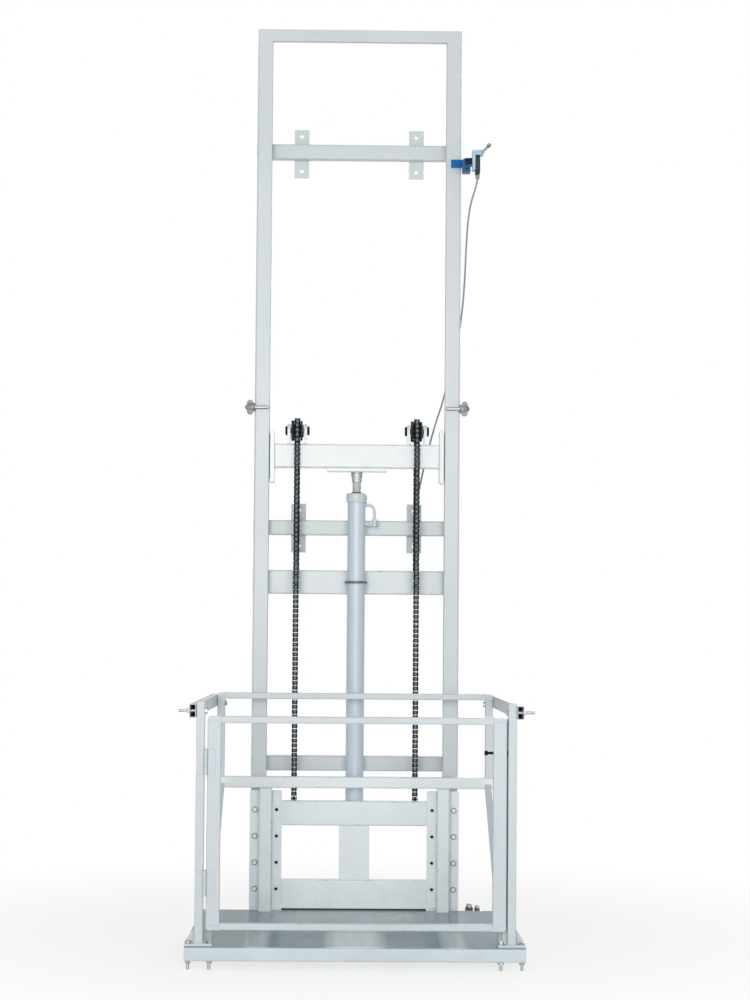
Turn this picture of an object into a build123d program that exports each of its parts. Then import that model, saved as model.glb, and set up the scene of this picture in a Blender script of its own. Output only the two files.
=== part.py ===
from build123d import *
import math
import os

# Hydraulic freight lift: a wall-tied two-rail mast, a single-acting ram that lifts a yoke
# with two chain sprockets, and a platform hung on the chains, which rises twice as far as the ram.
# Millimetres. +X right, +Y back to the wall, +Z up. Origin: middle of the base plate's underside.

# Mast rails and frame
MAST_HEIGHT = 3010.0
MAST_WIDTH = 688.0
RAIL_FACE = 50.0
RAIL_DEPTH = 50.0
RAIL_WALL = 5.0
JOINT_HEIGHT = 1728.0
TOP_BAR_HEIGHT = 40.0
CROSSBAR_HEIGHT = 50.0
CROSSBAR_DEPTH = 40.0
BEAM_HEIGHT = 80.0
TUBE_WALL = 3.0
UPPER_BAR_Z = 2604.0
MIDDLE_BAR_Z = 1328.0
CYLINDER_BEAM_Z = 1145.0
LOWER_BAR_Z = 539.0

# Base plate and wall plates
BASE_WIDTH = 860.0
BASE_FRONT = 70.0
BASE_BACK = 110.0
BASE_THICK = 10.0
ANCHOR_EDGE = 30.0
ANCHOR_HOLE = 14.0
WALL_PLATE_WIDTH = 50.0
WALL_PLATE_HEIGHT = 165.0
WALL_PLATE_THICK = 8.0
WALL_PLATE_SPACING = 390.0
WALL_HOLE_SPACING = 119.0
WALL_HOLE = 14.0

# Mast joint: a clamp rod with a wing nut on each rail
CLAMP_ROD = 12.0
CLAMP_REACH = 32.0
WING_HUB = 22.0
WING_HUB_LENGTH = 16.0
WING_SPAN = 52.0
WING_WIDTH = 30.0
WING_THICK = 5.0
WING_GAP = 2.0

# Roller chain and sprockets
PITCH = 15.875
HALF_TEETH = 7
ROLLER = 10.16
INNER_WIDTH = 9.4
PLATE_THICK = 2.03
PLATE_HEIGHT = 14.0
PLATE_OVERHANG = 5.0
PLATE_GAP = 0.1
CHAIN_PIN = 5.09
TOOTH_CLEARANCE = 0.3
TIP_WIDTH = 3.2
SEAT_HALF_ANGLE = 60.0
SEAT_STEPS = 3
HUB = 44.0
HUB_WIDTH = 42.0
CHAIN_X = 200.0
CHAIN_BAR_GAP = 4.0
CHAIN_CARRIAGE_GAP = 5.0
LUG_WIDTH = 22.0
LUG_HEIGHT = 62.0
LUG_RISE = 7.5
LUG_BOLT_SPACING = 34.0
LUG_BOLT = 14.0
LUG_BOLT_THICK = 7.0
FRONT_LUG_DEPTH = 21.0
FRONT_LUG_HEIGHT = 52.0

# Yoke
YOKE_Z = 1566.0
YOKE_DEPTH = 40.0
SHOE_THICK = 17.0
SHOE_HEIGHT = 180.0
SHOE_DEPTH = 62.0
SHOE_GAP = 2.0
GUIDE_HEIGHT = 150.0
GUIDE_CLEARANCE = 0.5
AXLE_RISE = 45.0
AXLE = 16.0
AXLE_CLEARANCE = 0.1
AXLE_HEAD = 28.0
AXLE_HEAD_THICK = 6.0
EAR_THICK = 10.0
EAR_GAP = 46.0
EAR_DEPTH = 44.0
THRUST_WIDTH = 200.0
THRUST_DEPTH = 60.0
THRUST_THICK = 12.0

# Ram
BARREL = 60.0
BORE = 50.0
FOOT_DIAMETER = 76.0
FOOT_HEIGHT = 30.0
BARREL_TOP = 1412.0
GLAND = 70.0
GLAND_HEIGHT = 30.0
GLAND_CHAMFER = 3.0
ROD = 30.0
ROD_CLEARANCE = 0.1
PISTON_LENGTH = 45.0
PISTON_CLEARANCE = 0.3
ROD_BOTTOM = 380.0
SOCKET_LARGE = 38.0
SOCKET_SMALL = 34.0
SOCKET_STEP = 17.0
STRAP_ROD = 10.0
STRAP_CLEARANCE = 0.3
STRAP_TAIL = 22.0
STRAP_NUT = 17.0
STRAP_NUT_THICK = 9.0
SADDLE_HEIGHT = 60.0
SADDLE_WIDTH = 50.0
RETURN_PIPE = 10.0
RETURN_REACH = 30.0
RETURN_DROP = 64.0
RETURN_BEND = 24.0
RETURN_TOP_GAP = 8.0
UNION = 18.0

# Supply line along the base
SUPPLY_PIPE = 15.0
SUPPLY_X = 388.0
SUPPLY_Y = 52.0
SUPPLY_Z = 34.0
SUPPLY_BEND = 30.0
SUPPLY_UNION = 24.0
SUPPLY_UNION_TOP = 77.0
SUPPLY_CAP = 18.0
SUPPLY_CAP_TOP = 70.0
SUPPLY_CAP_X = 415.0
SUPPLY_BLOCK_SIDE = 30.0

# Carriage
CARRIAGE_BEAM_DEPTH = 40.0
CARRIAGE_LOW = 88.0
CARRIAGE_HIGH = 425.0
UPRIGHT_WIDTH = 100.0
SLIDE_PLATE_WIDTH = 105.0
SLIDE_PLATE_LOW = 75.0
SLIDE_PLATE_HIGH = 460.0
SLIDE_PLATE_THICK = 8.0
SLIDE_PLATE_CORNER = 6.0
SLIDE_PLATE_EDGE = 343.0
CENTRE_PLATE_WIDTH = 100.0
CENTRE_PLATE_THICK = 6.0
CHEEK_THICK = 8.0
CHEEK_RAIL_GAP = 18.0
CARRIAGE_GUIDE_HEIGHT = 60.0
BOLT_ROWS = 4
BOLT_ROW_PITCH = 86.0
BOLT_ROW_LOW = 139.0
BOLT_COLUMN_EDGE = 17.0
BOLT_HEAD = 17.0
BOLT_HEAD_THICK = 6.5
BOLT_SHANK = 10.0

# Platform
PLATFORM_WIDTH = 1000.0
PLATFORM_DEPTH = 800.0
FLOOR_TOP = 70.0
SHEET_THICK = 3.0
RIM = 40.0
RIM_WALL = 3.0
BEARERS = 3

# Back frame of the platform
BACK_POST = 40.0
MID_RAIL_TOP = 507.0
MID_RAIL_HEIGHT = 36.0
LEG = 25.0
LEG_INSET = 61.0
GUARD_TOP = 780.0
GUARD_RAIL = 20.0
GUARD_WALL = 2.0
STAY = 20.0
STAY_INSET = 64.0
STAY_TOP = 488.0
STAY_FOOT_INSET = 115.0

# Front posts, side bars and gate
FRONT_POST = 25.0
FRONT_POST_INSET = 41.0
FRONT_POST_TOP = 782.0
FRONT_INSET = 25.0
FOOT_WIDTH = 82.0
FOOT_DEPTH = 46.0
FOOT_THICK = 7.0
GUSSET_WIDTH = 27.0
GUSSET_HEIGHT = 42.0
GUSSET_THICK = 3.0
FOOT_BOLT_SPACING = 62.0
FOOT_BOLT = 10.0
FOOT_BOLT_HEAD = 17.0
FOOT_NUT_THICK = 9.0
BOLT_HOLE_CLEARANCE = 0.5
SIDE_BAR_HEIGHT = 40.0
SIDE_BAR_WIDTH = 20.0
SIDE_BAR_WALL = 2.0
SIDE_BAR_DROP = 25.0
SIDE_BOLT_DROP = 14.0
SIDE_BAR_FRONT_LAP = 9.0
SIDE_BOLT_TAIL = 34.0
SIDE_BOLT_NUT_THICK = 8.0
GATE_LOW = 115.0
GATE_CLEARANCE = 6.0
STILE = 40.0
GATE_RAIL = 20.0
GATE_THICK = 25.0
GATE_WALL = 2.0
HINGE_GAP = 8.0
LATCH_GAP = 4.0
HINGE_HEIGHT = 75.0
HINGE_UPPER_Z = 605.0
HINGE_LOWER_Z = 252.0
KNUCKLE = 12.0
KNUCKLE_GAP = 0.4
KNUCKLE_PROUD = 0.5
HINGE_PIN = 6.0
HINGE_PIN_CLEARANCE = 0.1
HINGE_PIN_HEAD = 8.0
HINGE_PIN_HEAD_THICK = 2.0
LEAF_WIDTH = 22.0
LEAF_THICK = 2.5
LATCH_Z = 636.0
LATCH_BOLT = 12.0
LATCH_CLEARANCE = 0.5
LATCH_THROW = 14.0
LATCH_STEM = 14.0
LATCH_KNOB = 18.0
LATCH_KNOB_LENGTH = 12.0

# Limit switch
SWITCH_BRACKET_LOW = 2543.0
SWITCH_BRACKET_HIGH = 2571.0
SWITCH_BRACKET_INSET = 15.0
SWITCH_BRACKET_OVERHANG = 7.0
SWITCH_ARM_DROP = 14.0
SWITCH_BRACKET_THICK = 6.0
SWITCH_BLOCK_WIDTH = 25.0
SWITCH_BLOCK_DEPTH = 38.0
SWITCH_BLOCK_HEIGHT = 23.0
SWITCH_LOWER_BLOCK_WIDTH = 19.0
SWITCH_LOWER_BLOCK_HEIGHT = 28.5
SWITCH_BLOCK_SEAM = 2536.5
SWITCH_PLATE_THICK = 10.0
SWITCH_PLATE_LOW = 2520.0
SWITCH_PLATE_HIGH = 2587.0
SWITCH_BODY_WIDTH = 16.0
SWITCH_BODY_LOW = 2508.0
SWITCH_BODY_HIGH = 2570.5
SWITCH_BODY_DEPTH = 34.0
SWITCH_HEAD_WIDTH = 29.0
SWITCH_HEAD_HEIGHT = 16.5
SWITCH_LEG_GAP = 2.0
LEVER_THICK = 4.0
LEVER_WIDTH = 9.0
LEVER_REACH_X = 21.5
LEVER_REACH_Z = 21.25
LEVER_SHAFT = 7.0
LEVER_HEAD_GAP = 1.0
LEVER_CLEARANCE = 0.1
LEVER_EDGE = 6.0
LIMIT_ROLLER = 13.0
LIMIT_ROLLER_WIDTH = 8.0
LIMIT_ROLLER_PIN = 4.0
CABLE = 6.0
CABLE_GLAND = 14.0
CABLE_GLAND_LENGTH = 16.0
GROMMET = 16.0
GROMMET_HEIGHT = 9.0

# Cable route from the switch gland, behind the right rail, to the grommet on the middle crossbar
CABLE_START = 26.0
CABLE_END = 24.0
CABLE_END_X = 207.0
CABLE_ROUTE = [
    (389, -97, 2438), (382, -88, 2404), (377, -75, 2366), (374, -57, 2322),
    (371, -35, 2270), (368, -11, 2208), (364, 12, 2141), (356, 33, 2068), (343, 45, 1992),
    (326, 50, 1915), (308, 52, 1837), (290, 52, 1760), (272, 50, 1684), (255, 49, 1610),
    (239, 47, 1538), (225, 46, 1472), (214, 45, 1424),
]

# Places worked out from the sizes above
RAIL_X = (MAST_WIDTH - RAIL_FACE) / 2
RAIL_OUTER = MAST_WIDTH / 2
RAIL_MOUTH = RAIL_OUTER - RAIL_FACE
RAIL_BACK = RAIL_DEPTH / 2
TEETH = 2 * HALF_TEETH
PITCH_RADIUS = PITCH / (2 * math.sin(math.pi / TEETH))
RAM_Y = RAIL_BACK - CHAIN_BAR_GAP - PLATE_HEIGHT / 2 - PITCH_RADIUS
YOKE_TOP = YOKE_Z + BEAM_HEIGHT / 2
YOKE_LOW = YOKE_Z - BEAM_HEIGHT / 2
AXLE_Z = YOKE_TOP + AXLE_RISE
WRAP_LINKS = HALF_TEETH
REAR_LINKS = int((AXLE_Z - CYLINDER_BEAM_Z - BEAM_HEIGHT / 2) / PITCH)
FRONT_ROOM = int((AXLE_Z - CARRIAGE_HIGH) / PITCH)
FRONT_LINKS = FRONT_ROOM - (REAR_LINKS + WRAP_LINKS + FRONT_ROOM + 1) % 2
REAR_ANCHOR_Z = AXLE_Z - REAR_LINKS * PITCH
FRONT_ANCHOR_Z = AXLE_Z - FRONT_LINKS * PITCH
REAR_CHAIN_Y = RAM_Y + PITCH_RADIUS
FRONT_CHAIN_Y = RAM_Y - PITCH_RADIUS
CARRIAGE_BACK = FRONT_CHAIN_Y - PLATE_HEIGHT / 2 - CHAIN_CARRIAGE_GAP
CARRIAGE_FRONT = CARRIAGE_BACK - CARRIAGE_BEAM_DEPTH
PLATE_FRONT = CARRIAGE_FRONT - SLIDE_PLATE_THICK
POST_FRONT = PLATE_FRONT - BACK_POST
GUARD_Y = PLATE_FRONT - BACK_POST / 2
PLATFORM_BACK = CARRIAGE_FRONT
PLATFORM_FRONT = PLATFORM_BACK - PLATFORM_DEPTH
RIM_TOP = FLOOR_TOP - SHEET_THICK
RIM_LOW = RIM_TOP - RIM
HALF_WIDTH = PLATFORM_WIDTH / 2
LEG_X = HALF_WIDTH - LEG_INSET
STAY_X = HALF_WIDTH - STAY_INSET
FRONT_POST_X = HALF_WIDTH - FRONT_POST_INSET
FRONT_POST_Y = PLATFORM_FRONT + FRONT_INSET
POST_INNER = FRONT_POST_X - FRONT_POST / 2
POST_OUTER = FRONT_POST_X + FRONT_POST / 2
SIDE_BAR_Z = GUARD_TOP - SIDE_BAR_DROP
REAR_BOLT_Z = GUARD_TOP - GUARD_RAIL - SIDE_BOLT_DROP
GATE_HIGH = SIDE_BAR_Z - FOOT_BOLT_HEAD / math.sqrt(3) - GATE_CLEARANCE
GATE_LEFT = HINGE_GAP - POST_INNER
GATE_RIGHT = POST_INNER - LATCH_GAP
GATE_FRONT = FRONT_POST_Y - GATE_THICK / 2
HINGE_X = HINGE_GAP / 2 - POST_INNER
HINGE_Y = GATE_FRONT - KNUCKLE / 2 - KNUCKLE_PROUD
SHOE_OUTER = RAIL_MOUTH - SHOE_GAP
YOKE_HALF = SHOE_OUTER - SHOE_THICK
CHEEK_OUTER = RAIL_MOUTH - CHEEK_RAIL_GAP
GUIDE_OUTER = RAIL_OUTER - RAIL_WALL - GUIDE_CLEARANCE
GUIDE_DEPTH = RAIL_DEPTH - 2 * RAIL_WALL - 2 * GUIDE_CLEARANCE
LEVER_FRONT = GUARD_Y + LEG / 2 + SWITCH_LEG_GAP
HEAD_FRONT = LEVER_FRONT + LEVER_THICK + LEVER_HEAD_GAP
SWITCH_ARM = RAIL_OUTER + SWITCH_BRACKET_OVERHANG
SWITCH_PLATE_X = SWITCH_ARM + SWITCH_BLOCK_WIDTH
SWITCH_BODY_X = SWITCH_PLATE_X + SWITCH_PLATE_THICK
SWITCH_HEAD_X = SWITCH_BODY_X + SWITCH_HEAD_WIDTH
LEVER_X = SWITCH_HEAD_X - LEVER_EDGE
LEVER_Z = SWITCH_BODY_HIGH + SWITCH_HEAD_HEIGHT / 2

os.makedirs("parts", exist_ok=True)


def save(node, *solids):
    """One STEP file: a single solid, or a group of separate solids."""
    shape = solids[0] if len(solids) == 1 else Compound(list(solids))
    export_step(shape, f"parts/{node}.step")


def block(x, y, z):
    """A box between the given pairs of coordinates."""
    low = [min(pair) for pair in (x, y, z)]
    high = [max(pair) for pair in (x, y, z)]
    size = [b - a for a, b in zip(low, high)]
    middle = [(a + b) / 2 for a, b in zip(low, high)]
    return Pos(*middle) * Box(*size)


def tube(x, y, z, wall, along):
    """A rectangular tube, open at both ends of the axis named by along."""
    sides = [list(x), list(y), list(z)]
    bore = []
    for axis, pair in zip("XYZ", sides):
        low, high = min(pair), max(pair)
        shrink = -wall if axis == along else wall
        bore.append((low + shrink, high - shrink))
    return block(x, y, z) - block(*bore)


def rod(start, end, diameter):
    """A round bar between two points."""
    a, b = Vector(*start), Vector(*end)
    plane = Plane(origin=a, z_dir=b - a)
    return extrude(plane * Circle(diameter / 2), (b - a).length)


def prism(start, end, across, sides=6):
    """A bar with flat sides between two points, measured across its flats."""
    a, b = Vector(*start), Vector(*end)
    plane = Plane(origin=a, z_dir=b - a)
    radius = across / 2 / math.cos(math.pi / sides)
    return extrude(plane * RegularPolygon(radius, sides), (b - a).length)


def shank(start, end, diameter):
    """A bolt's shank, six-sided inside its diameter."""
    return prism(start, end, diameter * math.cos(math.pi / 6))


def fused(first, *others):
    """One solid from pieces that meet."""
    whole = first
    for other in others:
        whole = whole + other
    return whole.solid() if len(whole.solids()) == 1 else whole


def pair(solid):
    """A right-hand piece and its left-hand twin."""
    return [solid, mirror(solid, about=Plane.YZ)]


# Mast rails: channels open towards each other, cut at the joint
def rail(low, high):
    outer = block((RAIL_MOUTH, RAIL_OUTER), (-RAIL_BACK, RAIL_BACK), (low, high))
    inside = RAIL_BACK - RAIL_WALL
    groove = block((RAIL_MOUTH - RAIL_WALL, RAIL_OUTER - RAIL_WALL), (-inside, inside), (low, high))
    return outer - groove


UPPER_RAIL_TOP = MAST_HEIGHT - TOP_BAR_HEIGHT
save("lower_rails", *pair(rail(BASE_THICK, JOINT_HEIGHT)))
save("upper_rails", *pair(rail(JOINT_HEIGHT, UPPER_RAIL_TOP)))

# Bars that tie the rails together: one on top, the others across their backs
FULL_WIDTH = (-RAIL_OUTER, RAIL_OUTER)
BAR_BACK = RAIL_BACK + CROSSBAR_DEPTH
BAR_Y = (RAIL_BACK, BAR_BACK)
BAR_MIDDLE_Y = RAIL_BACK + CROSSBAR_DEPTH / 2
save("top_bar", tube(FULL_WIDTH, (-RAIL_BACK, RAIL_BACK), (UPPER_RAIL_TOP, MAST_HEIGHT), TUBE_WALL, "X"))


def crossbar(middle, height):
    return tube(FULL_WIDTH, BAR_Y, (middle - height / 2, middle + height / 2), TUBE_WALL, "X")


MIDDLE_BAR_TOP = MIDDLE_BAR_Z + CROSSBAR_HEIGHT / 2
cross_middles = (UPPER_BAR_Z, MIDDLE_BAR_Z, LOWER_BAR_Z)
save("crossbars", *[crossbar(middle, CROSSBAR_HEIGHT) for middle in cross_middles])

STRAP_RADIUS = BARREL / 2 + STRAP_CLEARANCE + STRAP_ROD / 2
STRAP_HOLE = STRAP_ROD + 2 * BOLT_HOLE_CLEARANCE
strap_holes = [
    rod((side * STRAP_RADIUS, RAIL_BACK - TUBE_WALL, CYLINDER_BEAM_Z),
        (side * STRAP_RADIUS, BAR_BACK + TUBE_WALL, CYLINDER_BEAM_Z), STRAP_HOLE)
    for side in (-1, 1)
]
save("cylinder_beam", crossbar(CYLINDER_BEAM_Z, BEAM_HEIGHT) - strap_holes)

# Base plate with its floor anchor holes
BASE_MIDDLE_Y = (BASE_BACK - BASE_FRONT) / 2
base = block((-BASE_WIDTH / 2, BASE_WIDTH / 2), (-BASE_FRONT, BASE_BACK), (0, BASE_THICK))
ANCHOR_SPACING_X = BASE_WIDTH - 2 * ANCHOR_EDGE
ANCHOR_SPACING_Y = BASE_FRONT + BASE_BACK - 2 * ANCHOR_EDGE
anchor_spots = GridLocations(ANCHOR_SPACING_X, ANCHOR_SPACING_Y, 2, 2)
anchor_holes = Pos(0, BASE_MIDDLE_Y, BASE_THICK / 2) * anchor_spots * Cylinder(
    ANCHOR_HOLE / 2, 2 * BASE_THICK)
save("base_plate", base - list(anchor_holes))


# Wall plates on the backs of the upper and middle crossbars
def wall_plate(x, z):
    half_width, half_height = WALL_PLATE_WIDTH / 2, WALL_PLATE_HEIGHT / 2
    plate = block((x - half_width, x + half_width), (BAR_BACK, BAR_BACK + WALL_PLATE_THICK),
                  (z - half_height, z + half_height))
    for step in (-1, 1):
        hole_z = z + step * WALL_HOLE_SPACING / 2
        plate -= rod((x, RAIL_BACK, hole_z), (x, BAR_BACK + 2 * WALL_PLATE_THICK, hole_z), WALL_HOLE)
    return plate


WALL_SPOTS = [(side * WALL_PLATE_SPACING / 2, z) for z in (UPPER_BAR_Z, MIDDLE_BAR_Z) for side in (-1, 1)]
save("wall_plates", *[wall_plate(x, z) for x, z in WALL_SPOTS])

# Mast joint: a clamp rod across the front of each rail, with a wing nut
CLAMP_Y = -RAIL_BACK - CLAMP_ROD / 2
clamp = rod(
    (RAIL_MOUTH, CLAMP_Y, JOINT_HEIGHT), (RAIL_OUTER + CLAMP_REACH, CLAMP_Y, JOINT_HEIGHT), CLAMP_ROD)

WING_X = RAIL_OUTER + WING_GAP
wing_outline = Polyline(
    (0, WING_HUB / 2), (0, -WING_HUB / 2), (WING_WIDTH / 2, -WING_SPAN / 2), (WING_WIDTH, -WING_SPAN / 2),
    (WING_HUB_LENGTH, 0), (WING_WIDTH, WING_SPAN / 2), (WING_WIDTH / 2, WING_SPAN / 2), close=True)
wings = extrude(Plane.XZ * make_face(wing_outline), WING_THICK / 2, both=True)
wings = Pos(WING_X, CLAMP_Y, JOINT_HEIGHT) * wings
hub = rod((WING_X, CLAMP_Y, JOINT_HEIGHT), (WING_X + WING_HUB_LENGTH, CLAMP_Y, JOINT_HEIGHT), WING_HUB)
nut_bore = rod((WING_X - WING_GAP, CLAMP_Y, JOINT_HEIGHT),
               (WING_X + 2 * WING_WIDTH, CLAMP_Y, JOINT_HEIGHT), CLAMP_ROD + 2 * AXLE_CLEARANCE)
wing_nut = fused(wings, hub) - nut_bore
save("joint_clamps", *pair(clamp), *pair(wing_nut.solid()))


# Ram: foot, barrel, gland, rod with its piston, and the socket under the yoke
def turned(outline):
    """A round piece on the ram's axis from (radius, height) points."""
    face = make_face(Plane.XZ * Polyline(*outline, close=True))
    return Pos(0, RAM_Y, 0) * revolve(face, Axis.Z)


BARREL_LOW = BASE_THICK + FOOT_HEIGHT
SPIGOT = BORE / 2 - PISTON_CLEARANCE
FLANGE = FOOT_HEIGHT / 2
save("cylinder_foot", turned([
    (0, BASE_THICK), (FOOT_DIAMETER / 2, BASE_THICK), (FOOT_DIAMETER / 2, BASE_THICK + FLANGE),
    (BARREL / 2, BARREL_LOW), (SPIGOT, BARREL_LOW), (
        SPIGOT, BARREL_LOW + FLANGE), (0, BARREL_LOW + FLANGE)]))
GLAND_BORE = ROD / 2 + ROD_CLEARANCE
RETURN_Z = BARREL_TOP - RETURN_TOP_GAP
RETURN_LOW = RETURN_Z - RETURN_DROP
barrel = turned(
    [(BORE / 2, BARREL_LOW), (BARREL / 2, BARREL_LOW), (BARREL / 2, BARREL_TOP), (BORE / 2, BARREL_TOP)])
for port_z in (RETURN_Z, RETURN_LOW):
    barrel -= rod((0, RAM_Y, port_z), (BARREL, RAM_Y, port_z), RETURN_PIPE)
save("cylinder_barrel", barrel)
GLAND_TOP = BARREL_TOP + GLAND_HEIGHT
save("cylinder_gland", turned([
    (GLAND_BORE, BARREL_TOP), (GLAND / 2, BARREL_TOP), (GLAND / 2, GLAND_TOP - GLAND_CHAMFER),
    (GLAND / 2 - GLAND_CHAMFER, GLAND_TOP), (GLAND_BORE, GLAND_TOP)]))
THRUST_LOW = YOKE_LOW - THRUST_THICK
PISTON = BORE / 2 - PISTON_CLEARANCE
save("piston_rod", turned([
    (0, ROD_BOTTOM), (PISTON, ROD_BOTTOM), (PISTON, ROD_BOTTOM + PISTON_LENGTH), (
        ROD / 2, ROD_BOTTOM + PISTON_LENGTH),
    (ROD / 2, THRUST_LOW), (0, THRUST_LOW)]))
SOCKET_BORE = ROD / 2 + ROD_CLEARANCE
save("rod_socket", turned([
    (SOCKET_BORE, THRUST_LOW), (SOCKET_LARGE / 2, THRUST_LOW), (SOCKET_LARGE / 2, THRUST_LOW - SOCKET_STEP),
    (SOCKET_SMALL / 2, THRUST_LOW - SOCKET_STEP), (SOCKET_SMALL / 2, THRUST_LOW - 2 * SOCKET_STEP),
    (SOCKET_BORE, THRUST_LOW - 2 * SOCKET_STEP)]))

# Saddle and U-bolt that hold the barrel to its beam
SADDLE_SEAT = BARREL / 2 + STRAP_CLEARANCE
saddle = block((-SADDLE_WIDTH / 2, SADDLE_WIDTH / 2), (RAM_Y + BARREL / 4, RAIL_BACK),
               (CYLINDER_BEAM_Z - SADDLE_HEIGHT / 2, CYLINDER_BEAM_Z + SADDLE_HEIGHT / 2))
saddle -= Pos(0, RAM_Y, CYLINDER_BEAM_Z) * Cylinder(SADDLE_SEAT, 2 * SADDLE_HEIGHT)

STRAP_END = BAR_BACK + STRAP_TAIL
strap_path = (
    Line((STRAP_RADIUS, STRAP_END), (STRAP_RADIUS, RAM_Y))
    + ThreePointArc((STRAP_RADIUS, RAM_Y), (0, RAM_Y - STRAP_RADIUS), (-STRAP_RADIUS, RAM_Y))
    + Line((-STRAP_RADIUS, RAM_Y), (-STRAP_RADIUS, STRAP_END)))
strap_section = Plane(origin=(STRAP_RADIUS, STRAP_END, 0), z_dir=(0, -1, 0)) * Circle(STRAP_ROD / 2)
strap = Pos(0, 0, CYLINDER_BEAM_Z) * sweep(strap_section, path=strap_path)


def strap_nut(side):
    x = side * STRAP_RADIUS
    nut = prism((x, BAR_BACK, CYLINDER_BEAM_Z), (x, BAR_BACK + STRAP_NUT_THICK, CYLINDER_BEAM_Z), STRAP_NUT)
    hole = STRAP_ROD + 2 * AXLE_CLEARANCE
    return nut - rod((x, RAIL_BACK, CYLINDER_BEAM_Z), (x, STRAP_END, CYLINDER_BEAM_Z), hole)


save("cylinder_clamp", saddle, strap, strap_nut(-1), strap_nut(1))

# Leak return pipe from the top of the barrel, down and back in through a union
RETURN_START = BORE / 2 + PISTON_CLEARANCE
RETURN_X = BARREL / 2 + RETURN_REACH
return_path = FilletPolyline(
    (RETURN_START, RAM_Y, RETURN_Z), (RETURN_X, RAM_Y, RETURN_Z), (
        RETURN_X, RAM_Y, RETURN_LOW), radius=RETURN_BEND)
return_section = Plane(origin=(RETURN_START, RAM_Y, RETURN_Z), z_dir=(1, 0, 0)) * Circle(RETURN_PIPE / 2)
return_union = prism((BARREL / 2, RAM_Y, RETURN_LOW), (RETURN_X + UNION / 2, RAM_Y, RETURN_LOW), UNION)
return_pipe = sweep(return_section, path=return_path)
save("return_pipe", fused(return_pipe, return_union))

# Supply pipe from the cylinder foot along the base plate to the unions outside the right rail
supply_route = [
    (FOOT_DIAMETER / 2, RAM_Y, SUPPLY_Z), (FOOT_DIAMETER / 2 + 2 * SUPPLY_BEND, RAM_Y, SUPPLY_Z),
    (FOOT_DIAMETER / 2 + 2 * SUPPLY_BEND, SUPPLY_Y, SUPPLY_Z), (
        SUPPLY_X - SUPPLY_BLOCK_SIDE / 2, SUPPLY_Y, SUPPLY_Z)]
supply_path = FilletPolyline(*supply_route, radius=SUPPLY_BEND)
supply_section = Plane(origin=supply_route[0], z_dir=(1, 0, 0)) * Circle(SUPPLY_PIPE / 2)
supply_port = prism((0, RAM_Y, SUPPLY_Z), (FOOT_DIAMETER / 2 + UNION / 2, RAM_Y, SUPPLY_Z), SUPPLY_UNION)
supply_port -= turned([(0, 0), (FOOT_DIAMETER / 2, 0), (FOOT_DIAMETER / 2, BASE_THICK + FLANGE),
                       (BARREL / 2, BARREL_LOW), (BARREL / 2, 2 * BARREL_LOW), (0, 2 * BARREL_LOW)])
supply_pipe = fused(sweep(supply_section, path=supply_path), supply_port)

half_block = SUPPLY_BLOCK_SIDE / 2
supply_block = block((SUPPLY_X - half_block, SUPPLY_CAP_X + half_block), (
    SUPPLY_Y - half_block, SUPPLY_Y + half_block),
                     (BASE_THICK, SUPPLY_Z + half_block))
supply_nut = prism(
    (SUPPLY_X, SUPPLY_Y, SUPPLY_Z + half_block), (SUPPLY_X, SUPPLY_Y, SUPPLY_UNION_TOP), SUPPLY_UNION)
supply_cap = prism(
    (SUPPLY_CAP_X, SUPPLY_Y, SUPPLY_Z + half_block), (SUPPLY_CAP_X, SUPPLY_Y, SUPPLY_CAP_TOP), SUPPLY_CAP)
save("supply_line", supply_pipe, supply_block, supply_nut, supply_cap)

# Yoke: beam, end shoes, nylon guides in the rails, sprocket ears, axles and thrust plate
YOKE_Y = (RAM_Y - YOKE_DEPTH / 2, RAM_Y + YOKE_DEPTH / 2)
save("yoke_beam", tube((-YOKE_HALF, YOKE_HALF), YOKE_Y, (YOKE_LOW, YOKE_TOP), TUBE_WALL, "X"))

shoe_outline = SlotOverall(SHOE_HEIGHT, SHOE_THICK, rotation=90)
shoe_front = RAM_Y - YOKE_DEPTH / 2
shoe = extrude(Plane(
    origin=((YOKE_HALF + SHOE_OUTER) / 2, shoe_front, YOKE_Z), z_dir=(0, 1, 0), x_dir=(1, 0, 0)
) * shoe_outline,
               SHOE_DEPTH)
save("yoke_shoes", *pair(shoe))

guide = block((SHOE_OUTER, GUIDE_OUTER), (-GUIDE_DEPTH / 2, GUIDE_DEPTH / 2),
              (YOKE_Z - GUIDE_HEIGHT / 2, YOKE_Z + GUIDE_HEIGHT / 2))
save("yoke_guides", *pair(guide))


def ear(x):
    base = Plane(origin=(x - EAR_THICK / 2, RAM_Y, YOKE_TOP), x_dir=(0, 1, 0), z_dir=(1, 0, 0))
    half = EAR_DEPTH / 2
    outline = Polyline((half, AXLE_RISE), (half, 0), (-half, 0), (-half, AXLE_RISE)) + ThreePointArc(
        (-half, AXLE_RISE), (0, AXLE_RISE + half), (half, AXLE_RISE))
    plate = make_face(outline) - Pos(0, AXLE_RISE) * Circle(AXLE / 2 + AXLE_CLEARANCE)
    return extrude(base * plate, EAR_THICK)


EAR_MIDDLE = (EAR_GAP + EAR_THICK) / 2
EAR_SPOTS = [side * CHAIN_X + step * EAR_MIDDLE for side in (-1, 1) for step in (-1, 1)]
save("sprocket_ears", *[ear(x) for x in EAR_SPOTS])


def axle(x):
    half = EAR_GAP / 2 + EAR_THICK
    shaft = rod((x - half, RAM_Y, AXLE_Z), (x + half, RAM_Y, AXLE_Z), AXLE)
    heads = [
        prism(
            (x + side * half, RAM_Y, AXLE_Z), (x + side * (half + AXLE_HEAD_THICK), RAM_Y, AXLE_Z),
            AXLE_HEAD)
        for side in (-1, 1)
    ]
    return fused(shaft, *heads)


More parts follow.
